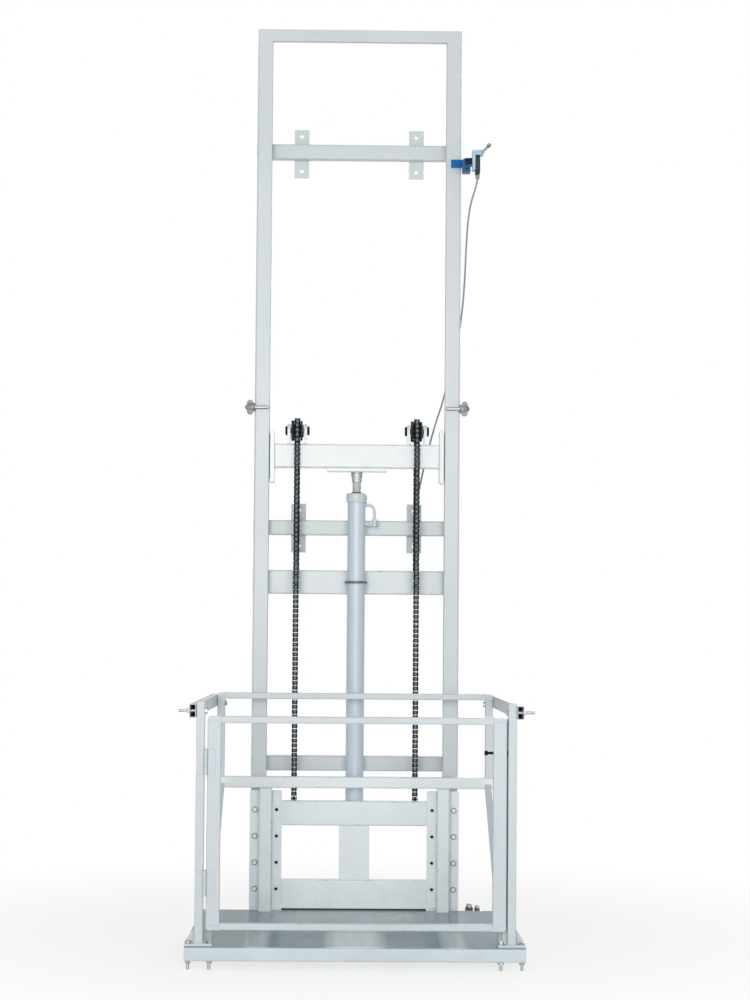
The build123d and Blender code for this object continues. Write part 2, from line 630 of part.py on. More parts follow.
save("sprocket_axles", axle(-CHAIN_X), axle(CHAIN_X))
save("thrust_plate", block((-THRUST_WIDTH / 2, THRUST_WIDTH / 2), (
    RAM_Y - THRUST_DEPTH / 2, RAM_Y + THRUST_DEPTH / 2),
                           (THRUST_LOW, YOKE_LOW)))


# Sprockets: toothed wheel and hub in one piece, a gap at each roller
def sprocket(x):
    seat = (ROLLER / 2 + TOOTH_CLEARANCE) / math.cos(math.radians(SEAT_HALF_ANGLE / SEAT_STEPS))
    tip_radius = PITCH / 2 * (0.6 + 1 / math.tan(math.pi / TEETH))
    half_tooth = math.pi / TEETH - math.asin(TIP_WIDTH / 2 / tip_radius)
    points = []
    for tooth in range(TEETH):
        turn = 2 * math.pi * tooth / TEETH
        points.append((tip_radius, turn - half_tooth))
        for step in range(SEAT_STEPS + 1):
            swing = math.radians(SEAT_HALF_ANGLE * (2 * step / SEAT_STEPS - 1))
            across = seat * math.sin(swing)
            along = PITCH_RADIUS - seat * math.cos(swing)
            points.append((math.hypot(along, across), turn + math.atan2(across, along)))
        points.append((tip_radius, turn + half_tooth))
    outline = [(radius * math.cos(turn), radius * math.sin(turn)) for radius, turn in points]
    width = INNER_WIDTH - 2 * TOOTH_CLEARANCE
    wheel_plane = Plane(origin=(x - width / 2, RAM_Y, AXLE_Z), x_dir=(0, 1, 0), z_dir=(1, 0, 0))
    wheel = extrude(wheel_plane * make_face(Polyline(*outline, close=True)), width)
    barrel_piece = rod((x - HUB_WIDTH / 2, RAM_Y, AXLE_Z), (x + HUB_WIDTH / 2, RAM_Y, AXLE_Z), HUB)
    bore = rod((x - HUB_WIDTH, RAM_Y, AXLE_Z), (x + HUB_WIDTH, RAM_Y, AXLE_Z), AXLE + 2 * AXLE_CLEARANCE)
    return fused(wheel, barrel_piece) - bore


save("sprocket_left", sprocket(-CHAIN_X))
save("sprocket_right", sprocket(CHAIN_X))


# Chains: pins counted from the anchor on the beam, up, over the sprocket and down to the carriage
def pin_place(index):
    """(Y, Z) of a pin of the chain."""
    over = index - REAR_LINKS
    if over <= 0:
        return REAR_CHAIN_Y, AXLE_Z + over * PITCH
    if over >= WRAP_LINKS:
        return FRONT_CHAIN_Y, AXLE_Z - (over - WRAP_LINKS) * PITCH
    turn = math.pi * over / WRAP_LINKS
    return RAM_Y + PITCH_RADIUS * math.cos(turn), AXLE_Z + PITCH_RADIUS * math.sin(turn)


LAST_LINK = REAR_LINKS + WRAP_LINKS + FRONT_LINKS - 1
INNER_PLATE = INNER_WIDTH / 2
OUTER_PLATE = INNER_PLATE + PLATE_THICK + PLATE_GAP
ROLLER_SIDE = ROLLER / math.sqrt(2)


def link(x, index):
    """Two plates, and on an inner link its two rollers. An end link carries the anchor pin."""
    start, end = pin_place(index), pin_place(index + 1)
    middle = ((start[0] + end[0]) / 2, (start[1] + end[1]) / 2)
    lean = math.degrees(math.atan2(end[1] - start[1], end[0] - start[0]))
    inner = index % 2 == 1
    offset = (INNER_PLATE if inner else OUTER_PLATE) + PLATE_THICK / 2
    length = PITCH + 2 * PLATE_OVERHANG
    solids = [
        Pos(x + side * offset, *middle) * Rot(X=lean) * Box(PLATE_THICK, length, PLATE_HEIGHT)
        for side in (-1, 1)
    ]
    if inner:
        roller = Rot(X=lean) * Box(INNER_WIDTH, ROLLER_SIDE, ROLLER_SIDE)
        rollers = [Pos(x, *place) * roller for place in (start, end)]
        solids = [fused(*rollers, *solids)]
    if index in (0, LAST_LINK):
        place = start if index == 0 else end
        reach = OUTER_PLATE + 2 * PLATE_THICK
        solids = [fused(rod((x - reach, *place), (x + reach, *place), CHAIN_PIN), *solids)]
    return solids


def strand(x, first, last):
    return [solid for index in range(first, last) for solid in link(x, index)]


for name, x in (("left", -CHAIN_X), ("right", CHAIN_X)):
    save(f"chain_rear_{name}", *strand(x, 0, REAR_LINKS))
    save(f"chain_over_{name}", *strand(x, REAR_LINKS, REAR_LINKS + WRAP_LINKS))
    save(f"chain_front_{name}", *strand(x, REAR_LINKS + WRAP_LINKS, LAST_LINK + 1))


# Chain anchors: lugs on the cylinder beam and behind the carriage's top beam, with a tongue in the end link
TONGUE = INNER_PLATE - PLATE_GAP
LUG_FRONT = REAR_CHAIN_Y - LUG_RISE


def rear_lug(x):
    lug_top = CYLINDER_BEAM_Z + BEAM_HEIGHT / 2 - LUG_RISE
    foot = block(
        (x - LUG_WIDTH / 2, x + LUG_WIDTH / 2), (LUG_FRONT, RAIL_BACK), (lug_top - LUG_HEIGHT, lug_top))
    tongue = block(
        (x - TONGUE, x + TONGUE), (LUG_FRONT, REAR_CHAIN_Y + LUG_RISE), (lug_top, REAR_ANCHOR_Z + LUG_RISE))
    hole = rod((x - LUG_WIDTH, REAR_CHAIN_Y, REAR_ANCHOR_Z), (x + LUG_WIDTH, REAR_CHAIN_Y, REAR_ANCHOR_Z),
               CHAIN_PIN + 2 * TOOTH_CLEARANCE)
    return fused(foot, tongue) - hole


def rear_lug_bolts(x):
    middle = CYLINDER_BEAM_Z + BEAM_HEIGHT / 2 - LUG_RISE - LUG_HEIGHT / 2
    return [
        prism((x, LUG_FRONT, middle + step * LUG_BOLT_SPACING / 2),
              (x, LUG_FRONT - LUG_BOLT_THICK, middle + step * LUG_BOLT_SPACING / 2), LUG_BOLT)
        for step in (-1, 1)
    ]


def front_lug(x):
    top = FRONT_ANCHOR_Z + LUG_RISE
    tongue = block(
        (x - TONGUE, x + TONGUE), (CARRIAGE_BACK, CARRIAGE_BACK + FRONT_LUG_DEPTH),
        (top - FRONT_LUG_HEIGHT, top))
    hole = rod((x - LUG_WIDTH, FRONT_CHAIN_Y, FRONT_ANCHOR_Z), (
        x + LUG_WIDTH, FRONT_CHAIN_Y, FRONT_ANCHOR_Z),
               CHAIN_PIN + 2 * TOOTH_CLEARANCE)
    return tongue - hole


save(
    "rear_chain_lugs", *[piece for x in (-CHAIN_X, CHAIN_X) for piece in (rear_lug(x), *rear_lug_bolts(x))])
save("front_chain_lugs", front_lug(-CHAIN_X), front_lug(CHAIN_X))

# Carriage: two beams between uprights, cheeks that reach back to the guides inside the rails
CARRIAGE_Y = (CARRIAGE_FRONT, CARRIAGE_BACK)
UPRIGHT_INNER = SLIDE_PLATE_EDGE - UPRIGHT_WIDTH
BEAM_X = (-UPRIGHT_INNER, UPRIGHT_INNER)
top_beam = tube(BEAM_X, CARRIAGE_Y, (CARRIAGE_HIGH - BEAM_HEIGHT, CARRIAGE_HIGH), TUBE_WALL, "X")
bottom_beam = tube(BEAM_X, CARRIAGE_Y, (CARRIAGE_LOW, CARRIAGE_LOW + BEAM_HEIGHT), TUBE_WALL, "X")
centre_plate = block(
    (-CENTRE_PLATE_WIDTH / 2, CENTRE_PLATE_WIDTH / 2), (
        CARRIAGE_FRONT, CARRIAGE_FRONT + CENTRE_PLATE_THICK),
    (CARRIAGE_LOW + BEAM_HEIGHT, CARRIAGE_HIGH - BEAM_HEIGHT))
save("carriage_beams", top_beam, bottom_beam, centre_plate)

SLIDE_PLATE_INNER = SLIDE_PLATE_EDGE - SLIDE_PLATE_WIDTH
BOLT_COLUMNS = (SLIDE_PLATE_INNER + BOLT_COLUMN_EDGE, SLIDE_PLATE_EDGE - BOLT_COLUMN_EDGE)
BOLT_SPOTS = [(x, BOLT_ROW_LOW + row * BOLT_ROW_PITCH) for x in BOLT_COLUMNS for row in range(BOLT_ROWS)]
BOLT_DEPTH = CARRIAGE_FRONT + TUBE_WALL
bolt_holes = [
    rod((x, PLATE_FRONT - SLIDE_PLATE_THICK, z), (x, BOLT_DEPTH, z), BOLT_SHANK + 2 * BOLT_HOLE_CLEARANCE)
    for x, z in BOLT_SPOTS
]
upright = tube((UPRIGHT_INNER, SLIDE_PLATE_EDGE), CARRIAGE_Y, (CARRIAGE_LOW, CARRIAGE_HIGH), TUBE_WALL, "Z")
upright -= bolt_holes

slide_face = RectangleRounded(SLIDE_PLATE_WIDTH, SLIDE_PLATE_HIGH - SLIDE_PLATE_LOW, SLIDE_PLATE_CORNER)
slide_plane = Plane(origin=(
    SLIDE_PLATE_EDGE - SLIDE_PLATE_WIDTH / 2, CARRIAGE_FRONT, (SLIDE_PLATE_LOW + SLIDE_PLATE_HIGH) / 2),
                    x_dir=(1, 0, 0), z_dir=(0, -1, 0))
slide_plate = extrude(slide_plane * slide_face, SLIDE_PLATE_THICK) - bolt_holes
save("slide_plates", *pair(slide_plate))


def carriage_bolt(x, z):
    head = prism((x, PLATE_FRONT, z), (x, PLATE_FRONT - BOLT_HEAD_THICK, z), BOLT_HEAD)
    return fused(head, shank((x, PLATE_FRONT, z), (x, BOLT_DEPTH, z), BOLT_SHANK))


save("carriage_bolts", *[bolt for x, z in BOLT_SPOTS for bolt in pair(carriage_bolt(x, z))])

cheek = block(
    (CHEEK_OUTER - CHEEK_THICK, CHEEK_OUTER), (CARRIAGE_BACK, GUIDE_DEPTH / 2),
    (CARRIAGE_LOW, CARRIAGE_HIGH))
save("carriage_sides", *pair(upright), *pair(cheek))


def carriage_guide(low):
    return block(
        (CHEEK_OUTER, GUIDE_OUTER), (-GUIDE_DEPTH / 2, GUIDE_DEPTH / 2), (low, low + CARRIAGE_GUIDE_HEIGHT))


GUIDE_LOWS = (CARRIAGE_LOW, CARRIAGE_HIGH - CARRIAGE_GUIDE_HEIGHT)
save("carriage_guides", *[piece for low in GUIDE_LOWS for piece in pair(carriage_guide(low))])

# Back frame of the platform: posts on the slide plates, a middle rail over them, legs and a top rail
POST_MIDDLE = (SLIDE_PLATE_INNER + SLIDE_PLATE_EDGE) / 2
MID_RAIL_LOW = MID_RAIL_TOP - MID_RAIL_HEIGHT
GUARD_SPAN = (GUARD_Y - BACK_POST / 2, GUARD_Y + BACK_POST / 2)
LEG_OUTER = LEG_X + LEG / 2
LEG_INNER = LEG_X - LEG / 2
back_post = tube(
    (POST_MIDDLE - BACK_POST / 2, POST_MIDDLE + BACK_POST / 2), GUARD_SPAN, (FLOOR_TOP, MID_RAIL_LOW),
    TUBE_WALL, "Z")
mid_rail = tube((-LEG_OUTER, LEG_OUTER), GUARD_SPAN, (MID_RAIL_LOW, MID_RAIL_TOP), TUBE_WALL, "X")
save("back_frame", *pair(back_post), mid_rail)
SIDE_HOLE = FOOT_BOLT + 2 * BOLT_HOLE_CLEARANCE
leg = tube(
    (LEG_INNER, LEG_OUTER), (GUARD_Y - LEG / 2, GUARD_Y + LEG / 2), (MID_RAIL_TOP, GUARD_TOP), GUARD_WALL,
    "Z")
leg -= rod((LEG_INNER - LEG, GUARD_Y, REAR_BOLT_Z), (LEG_OUTER + LEG, GUARD_Y, REAR_BOLT_Z), SIDE_HOLE)
top_rail = tube((-LEG_INNER, LEG_INNER), (GUARD_Y - GUARD_RAIL / 2, GUARD_Y + GUARD_RAIL / 2),
                (GUARD_TOP - GUARD_RAIL, GUARD_TOP), GUARD_WALL, "X")
save("back_guard", *pair(leg), top_rail)

# Floor: a rim of tubes with bearers under a steel sheet
RIM_Z = (RIM_LOW, RIM_TOP)
FOOT_BOLT_X = (FRONT_POST_X - FOOT_BOLT_SPACING / 2, FRONT_POST_X + FOOT_BOLT_SPACING / 2)
FOOT_BOLT_SPOTS = [side * x for side in (-1, 1) for x in FOOT_BOLT_X]
foot_holes = [
    rod(
        (x, FRONT_POST_Y, 0), (x, FRONT_POST_Y, FLOOR_TOP + 2 * FOOT_THICK),
        FOOT_BOLT + 2 * BOLT_HOLE_CLEARANCE)
    for x in FOOT_BOLT_SPOTS
]
RIM_FRONT_Y = (PLATFORM_FRONT, PLATFORM_FRONT + RIM)
RIM_BACK_Y = (PLATFORM_BACK - RIM, PLATFORM_BACK)
INNER_Y = (RIM_FRONT_Y[1], RIM_BACK_Y[0])
rim_front = tube((-HALF_WIDTH, HALF_WIDTH), RIM_FRONT_Y, RIM_Z, RIM_WALL, "X") - foot_holes
rim_back = tube((-HALF_WIDTH, HALF_WIDTH), RIM_BACK_Y, RIM_Z, RIM_WALL, "X")
rim_sides = pair(tube((HALF_WIDTH - RIM, HALF_WIDTH), INNER_Y, RIM_Z, RIM_WALL, "Y"))
BEARER_STEP = PLATFORM_WIDTH / (BEARERS + 1)
bearer_middles = [-HALF_WIDTH + BEARER_STEP * (number + 1) for number in range(BEARERS)]
bearers = [tube((x - RIM / 2, x + RIM / 2), INNER_Y, RIM_Z, RIM_WALL, "Y") for x in bearer_middles]
save("platform_frame", rim_front, rim_back, *rim_sides, *bearers)
save(
    "floor_sheet",
    block((-HALF_WIDTH, HALF_WIDTH), (PLATFORM_FRONT, PLATFORM_BACK), (RIM_TOP, FLOOR_TOP)) - foot_holes)

# Side stays from the ends of the middle rail down to the floor behind the front posts
STAY_FOOT_Y = PLATFORM_FRONT + STAY_FOOT_INSET
stay_run = Vector(0, STAY_FOOT_Y - GUARD_Y, FLOOR_TOP - STAY_TOP)
stay_reach = 2 * STAY / stay_run.length * stay_run
stay_start = Vector(STAY_X, GUARD_Y, STAY_TOP) - stay_reach
stay_plane = Plane(origin=stay_start, x_dir=(1, 0, 0), z_dir=stay_run)
stay = extrude(stay_plane * (
    Rectangle(STAY, STAY) - Rectangle(STAY - 2 * GUARD_WALL, STAY - 2 * GUARD_WALL)),
               stay_run.length + 2 * stay_reach.length)
stay &= block((STAY_X - STAY, STAY_X + STAY), (PLATFORM_FRONT, POST_FRONT), (FLOOR_TOP, GUARD_TOP))
save("side_stays", *pair(stay))

# Front posts on bolted feet, each with a gusset outside
FOOT_TOP = FLOOR_TOP + FOOT_THICK
post = tube((POST_INNER, POST_OUTER), (FRONT_POST_Y - FRONT_POST / 2, FRONT_POST_Y + FRONT_POST / 2),
            (FOOT_TOP, FRONT_POST_TOP), GUARD_WALL, "Z")
post -= rod(
    (POST_INNER - FRONT_POST, FRONT_POST_Y, SIDE_BAR_Z),
    (POST_OUTER + FRONT_POST, FRONT_POST_Y, SIDE_BAR_Z), SIDE_HOLE)
keeper_hole = rod((POST_INNER - GUARD_WALL, FRONT_POST_Y, LATCH_Z), (FRONT_POST_X, FRONT_POST_Y, LATCH_Z),
                  LATCH_BOLT + 2 * LATCH_CLEARANCE)
posts = [post - keeper_hole, mirror(post, about=Plane.YZ)]
foot = block((FRONT_POST_X - FOOT_WIDTH / 2, FRONT_POST_X + FOOT_WIDTH / 2),
             (FRONT_POST_Y - FOOT_DEPTH / 2, FRONT_POST_Y + FOOT_DEPTH / 2), (FLOOR_TOP, FOOT_TOP))
GUSSET_Y = FRONT_POST_Y + FRONT_POST / 2
gusset_face = make_face(Polyline(
    (POST_OUTER, FOOT_TOP), (POST_OUTER + GUSSET_WIDTH, FOOT_TOP), (
        POST_OUTER, FOOT_TOP + GUSSET_HEIGHT), close=True))
gusset = extrude(
    Plane(origin=(0, GUSSET_Y, 0), x_dir=(1, 0, 0), z_dir=(0, -1, 0)) * gusset_face, GUSSET_THICK)
save("front_posts", *posts, *pair(foot - foot_holes), *pair(gusset))


def foot_bolt(x):
    stem = shank((x, FRONT_POST_Y, 0), (x, FRONT_POST_Y, FOOT_TOP), FOOT_BOLT)
    head = prism((x, FRONT_POST_Y, FOOT_TOP), (x, FRONT_POST_Y, FOOT_TOP + BOLT_HEAD_THICK), FOOT_BOLT_HEAD)
    nut = prism((x, FRONT_POST_Y, RIM_LOW - FOOT_NUT_THICK), (x, FRONT_POST_Y, RIM_LOW), FOOT_BOLT_HEAD)
    return fused(stem, head, nut)


save("foot_bolts", *[foot_bolt(x) for x in FOOT_BOLT_SPOTS])

# Side bars: twin-cell tubes that run outwards from the legs to the front posts, bolted through both
BAR_CORNER_Y = FRONT_POST_Y + FRONT_POST / 2
BAR_CELL = SIDE_BAR_HEIGHT / 2
BAR_LAP = FRONT_POST + SIDE_BAR_FRONT_LAP
bar_start = Vector(POST_OUTER, BAR_CORNER_Y, SIDE_BAR_Z)
bar_run = Vector(LEG_OUTER, GUARD_Y + LEG / 2, SIDE_BAR_Z) - bar_start
bar_plane = Plane(origin=bar_start, x_dir=bar_run, z_dir=(0, 0, 1))
bar_body = block((-BAR_LAP, bar_run.length), (-SIDE_BAR_WIDTH, 0), (-BAR_CELL, BAR_CELL))
bar_cells = [
    block((-2 * BAR_LAP, bar_run.length + BAR_LAP), (SIDE_BAR_WALL - SIDE_BAR_WIDTH, -SIDE_BAR_WALL),
          (side * SIDE_BAR_WALL / 2, side * (BAR_CELL - SIDE_BAR_WALL)))
    for side in (-1, 1)
]
SIDE_BOLT_SPOTS = [(GUARD_Y, REAR_BOLT_Z, LEG_INNER), (FRONT_POST_Y, SIDE_BAR_Z, POST_INNER)]
side_bolt_holes = [
    rod((LEG_INNER - LEG, y, z), (HALF_WIDTH + LEG, y, z), SIDE_HOLE) for y, z, inner in SIDE_BOLT_SPOTS]
side_bar = bar_plane * (bar_body - bar_cells) - side_bolt_holes
save("side_bars", *pair(side_bar))


def bar_face(y):
    """X of a side bar's outer face at this Y."""
    inner = POST_OUTER + bar_run.X / bar_run.Y * (y - BAR_CORNER_Y)
    return inner + SIDE_BAR_WIDTH * bar_run.length / bar_run.Y


def side_bolt(y, z, inner):
    seat = bar_face(y - FOOT_BOLT_HEAD / math.sqrt(3))
    stem = shank((inner, y, z), (seat + SIDE_BOLT_TAIL, y, z), FOOT_BOLT)
    head = prism((inner - BOLT_HEAD_THICK, y, z), (inner, y, z), FOOT_BOLT_HEAD)
    nut = prism((seat, y, z), (seat + SIDE_BOLT_NUT_THICK, y, z), FOOT_BOLT_HEAD)
    return fused(stem, head, nut)


save("side_bar_bolts", *[bolt for spot in SIDE_BOLT_SPOTS for bolt in pair(side_bolt(*spot))])

# Gate: two stiles, top and bottom rails
GATE_Y = (GATE_FRONT, GATE_FRONT + GATE_THICK)
LATCH_HOLE = LATCH_BOLT + 2 * LATCH_CLEARANCE
latch_way = rod(
    (GATE_RIGHT - 2 * STILE, FRONT_POST_Y, LATCH_Z), (GATE_RIGHT + STILE, FRONT_POST_Y, LATCH_Z),
    LATCH_HOLE)
STILE_LEFT = (GATE_LEFT, GATE_LEFT + STILE)
STILE_RIGHT = (GATE_RIGHT - STILE, GATE_RIGHT)
GATE_SPAN = (STILE_LEFT[1], STILE_RIGHT[0])
stile_left = tube(STILE_LEFT, GATE_Y, (GATE_LOW, GATE_HIGH), GATE_WALL, "Z")
stile_right = tube(STILE_RIGHT, GATE_Y, (GATE_LOW, GATE_HIGH), GATE_WALL, "Z") - latch_way
save("gate_stiles", stile_left, stile_right)
gate_top = tube(GATE_SPAN, GATE_Y, (GATE_HIGH - GATE_RAIL, GATE_HIGH), GATE_WALL, "X")
gate_bottom = tube(GATE_SPAN, GATE_Y, (GATE_LOW, GATE_LOW + GATE_RAIL), GATE_WALL, "X")
save("gate_rails", gate_top, gate_bottom)


# Hinges: a leaf on the post with two knuckles, a leaf on the gate with one, and a pin
def knuckle(low, high):
    body = rod((HINGE_X, HINGE_Y, low), (HINGE_X, HINGE_Y, high), KNUCKLE)
    return body, rod(
        (HINGE_X, HINGE_Y, low - KNUCKLE), (HINGE_X, HINGE_Y, high + KNUCKLE),
        HINGE_PIN + 2 * HINGE_PIN_CLEARANCE)


def hinge_leaf(z, side, spans):
    """A flat leaf on the post (side -1) or the gate (side 1), with a knuckle in each span."""
    face = GATE_FRONT if side > 0 else FRONT_POST_Y - FRONT_POST / 2
    near = HINGE_X + side * (KNUCKLE / 2 + KNUCKLE_GAP)
    leaf = block(
        (near, near + side * LEAF_WIDTH), (face - LEAF_THICK, face),
        (z - HINGE_HEIGHT / 2, z + HINGE_HEIGHT / 2))
    bores = []
    for low, high in spans:
        body, bore = knuckle(z + low, z + high)
        tab = block((HINGE_X, near), (face - LEAF_THICK, face - KNUCKLE_PROUD), (z + low, z + high))
        leaf = leaf + body + tab
        bores.append(bore)
    return fused(leaf) - bores


THIRD = HINGE_HEIGHT / 6
HINGE_ENDS = HINGE_HEIGHT / 2
POST_SPANS = [(-HINGE_ENDS, -THIRD - KNUCKLE_GAP), (THIRD + KNUCKLE_GAP, HINGE_ENDS)]
GATE_SPANS = [(-THIRD, THIRD)]
HINGE_SPOTS = (HINGE_LOWER_Z, HINGE_UPPER_Z)
save("hinge_post_leaves", *[hinge_leaf(z, -1, POST_SPANS) for z in HINGE_SPOTS])
save("hinge_gate_leaves", *[hinge_leaf(z, 1, GATE_SPANS) for z in HINGE_SPOTS])


def hinge_pin(z):
    low, high = z - HINGE_ENDS, z + HINGE_ENDS
    shaft = rod((HINGE_X, HINGE_Y, low), (HINGE_X, HINGE_Y, high), HINGE_PIN)
    cap = rod((HINGE_X, HINGE_Y, high), (HINGE_X, HINGE_Y, high + HINGE_PIN_HEAD_THICK), HINGE_PIN_HEAD)
    return fused(shaft, cap)


save("hinge_pins", *[hinge_pin(z) for z in HINGE_SPOTS])

# Gate latch: a round bolt through the right stile into the post, pulled by its knob
KNOB_END = STILE_RIGHT[0] - LATCH_STEM
latch_shaft = rod(
    (KNOB_END, FRONT_POST_Y, LATCH_Z), (POST_INNER + LATCH_THROW, FRONT_POST_Y, LATCH_Z), LATCH_BOLT)
latch_knob = rod(
    (KNOB_END - LATCH_KNOB_LENGTH, FRONT_POST_Y, LATCH_Z), (KNOB_END, FRONT_POST_Y, LATCH_Z), LATCH_KNOB)
save("latch_bolt", fused(latch_shaft, latch_knob))

# Limit switch on the right rail: bracket, blocks, plate, body with its head, lever and roller
bracket_plate = block((RAIL_OUTER - RAIL_FACE + SWITCH_BRACKET_INSET, SWITCH_ARM), (
    -RAIL_BACK - SWITCH_BRACKET_THICK, -RAIL_BACK),
                      (SWITCH_BRACKET_LOW, SWITCH_BRACKET_HIGH))
bracket_arm = block((SWITCH_ARM - SWITCH_BRACKET_THICK, SWITCH_ARM), (HEAD_FRONT, -RAIL_BACK),
                    (SWITCH_BRACKET_LOW - SWITCH_ARM_DROP, SWITCH_BRACKET_HIGH - SWITCH_ARM_DROP))
save("switch_bracket", fused(bracket_plate, bracket_arm))
BLOCK_Y = (HEAD_FRONT, HEAD_FRONT + SWITCH_BLOCK_DEPTH)
upper_block = block(
    (SWITCH_ARM, SWITCH_PLATE_X), BLOCK_Y, (SWITCH_BLOCK_SEAM, SWITCH_BLOCK_SEAM + SWITCH_BLOCK_HEIGHT))
lower_block = block((SWITCH_ARM, SWITCH_ARM + SWITCH_LOWER_BLOCK_WIDTH), BLOCK_Y,
                    (SWITCH_BLOCK_SEAM - SWITCH_LOWER_BLOCK_HEIGHT, SWITCH_BLOCK_SEAM))
save("switch_blocks", upper_block, lower_block)
save("switch_plate", block((SWITCH_PLATE_X, SWITCH_BODY_X), BLOCK_Y, (SWITCH_PLATE_LOW, SWITCH_PLATE_HIGH)))
BODY_Y = (HEAD_FRONT, HEAD_FRONT + SWITCH_BODY_DEPTH)
HEAD_TOP = SWITCH_BODY_HIGH + SWITCH_HEAD_HEIGHT
body = block(
    (SWITCH_BODY_X, SWITCH_BODY_X + SWITCH_BODY_WIDTH), BODY_Y, (SWITCH_BODY_LOW, SWITCH_BODY_HIGH))
head = block((SWITCH_BODY_X, SWITCH_HEAD_X), BODY_Y, (SWITCH_BODY_HIGH, HEAD_TOP))
shaft_bore = rod((LEVER_X, LEVER_FRONT, LEVER_Z), (LEVER_X, HEAD_FRONT + SWITCH_BODY_DEPTH / 2, LEVER_Z),
                 LEVER_SHAFT + 2 * LEVER_CLEARANCE)
save("switch_body", body, head - shaft_bore)

ROLLER_X = LEVER_X + LEVER_REACH_X
ROLLER_Z = LEVER_Z + LEVER_REACH_Z
LEVER_BACK = LEVER_FRONT + LEVER_THICK
arm_length = math.hypot(LEVER_REACH_X, LEVER_REACH_Z)
arm_lean = math.degrees(math.atan2(LEVER_REACH_Z, LEVER_REACH_X))
arm_plane = Plane(origin=(LEVER_X, LEVER_BACK, LEVER_Z), x_dir=(1, 0, 0), z_dir=(0, -1, 0))
arm = extrude(
    arm_plane * Rot(Z=arm_lean) * Pos(arm_length / 2, 0) * SlotCenterToCenter(arm_length, LEVER_WIDTH),
    LEVER_THICK)
lever_shaft = rod(
    (LEVER_X, LEVER_BACK, LEVER_Z), (LEVER_X, HEAD_FRONT + SWITCH_BODY_DEPTH / 3, LEVER_Z), LEVER_SHAFT)
ROLLER_BACK = LEVER_FRONT - LEVER_HEAD_GAP
ROLLER_FRONT = ROLLER_BACK - LIMIT_ROLLER_WIDTH
roller_pin = rod((ROLLER_X, LEVER_FRONT, ROLLER_Z), (ROLLER_X, ROLLER_FRONT, ROLLER_Z), LIMIT_ROLLER_PIN)
save("switch_lever", fused(arm, lever_shaft, roller_pin))
limit_roller = rod((ROLLER_X, ROLLER_FRONT, ROLLER_Z), (ROLLER_X, ROLLER_BACK, ROLLER_Z), LIMIT_ROLLER)
save("switch_roller", limit_roller - rod((
    ROLLER_X, ROLLER_FRONT - LIMIT_ROLLER, ROLLER_Z), (ROLLER_X, LEVER_BACK, ROLLER_Z),
                                         LIMIT_ROLLER_PIN + 2 * LEVER_CLEARANCE))

# Switch cable with its gland, and the grommet where it goes into the middle crossbar
CABLE_X = SWITCH_BODY_X + SWITCH_BODY_WIDTH / 2
CABLE_Y = HEAD_FRONT + SWITCH_BODY_DEPTH / 2
GLAND_LOW = SWITCH_BODY_LOW - CABLE_GLAND_LENGTH
cable_gland = prism((CABLE_X, CABLE_Y, GLAND_LOW), (CABLE_X, CABLE_Y, SWITCH_BODY_LOW), CABLE_GLAND)
GROMMET_TOP = MIDDLE_BAR_TOP + GROMMET_HEIGHT
cable_grommet = rod(
    (CABLE_END_X, BAR_MIDDLE_Y, MIDDLE_BAR_TOP), (CABLE_END_X, BAR_MIDDLE_Y, GROMMET_TOP), GROMMET)
save("cable_fittings", cable_gland, cable_grommet)

cable_start = Vector(CABLE_X, CABLE_Y, GLAND_LOW)
cable_end = Vector(CABLE_END_X, BAR_MIDDLE_Y, GROMMET_TOP)
route = [cable_start, cable_start - (0, 0, CABLE_START)] + [Vector(*spot) for spot in CABLE_ROUTE]
route += [cable_end + (0, 0, CABLE_END), cable_end]
radii = []
for before, corner, after in zip(route, route[1:], route[2:]):
    turn = math.radians((corner - before).get_angle(after - corner))
    shorter = min((corner - before).length, (after - corner).length)
    radii.append(0.45 * shorter / math.tan(turn / 2))
cable_path = FilletPolyline(*route, radius=radii)
cable_section = Plane(origin=route[0], z_dir=route[1] - route[0]) * RegularPolygon(CABLE / 2, 8)
cable = sweep(cable_section, path=cable_path)
save("switch_cable", cable)
section_area = cable_section.area
print("cable length", round(cable_path.length, 1), "volume share",
      round(cable.volume / (section_area * cable_path.length), 4))
print("cable radii", [round(radius) for radius in radii])
print("rear links", REAR_LINKS, "front links", FRONT_LINKS, "axle", AXLE_Z, "ram y", round(RAM_Y, 2))
print(
    "rear anchor", round(REAR_ANCHOR_Z, 2), "front anchor", round(FRONT_ANCHOR_Z, 2), "pitch radius",
    round(PITCH_RADIUS, 3))
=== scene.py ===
import math

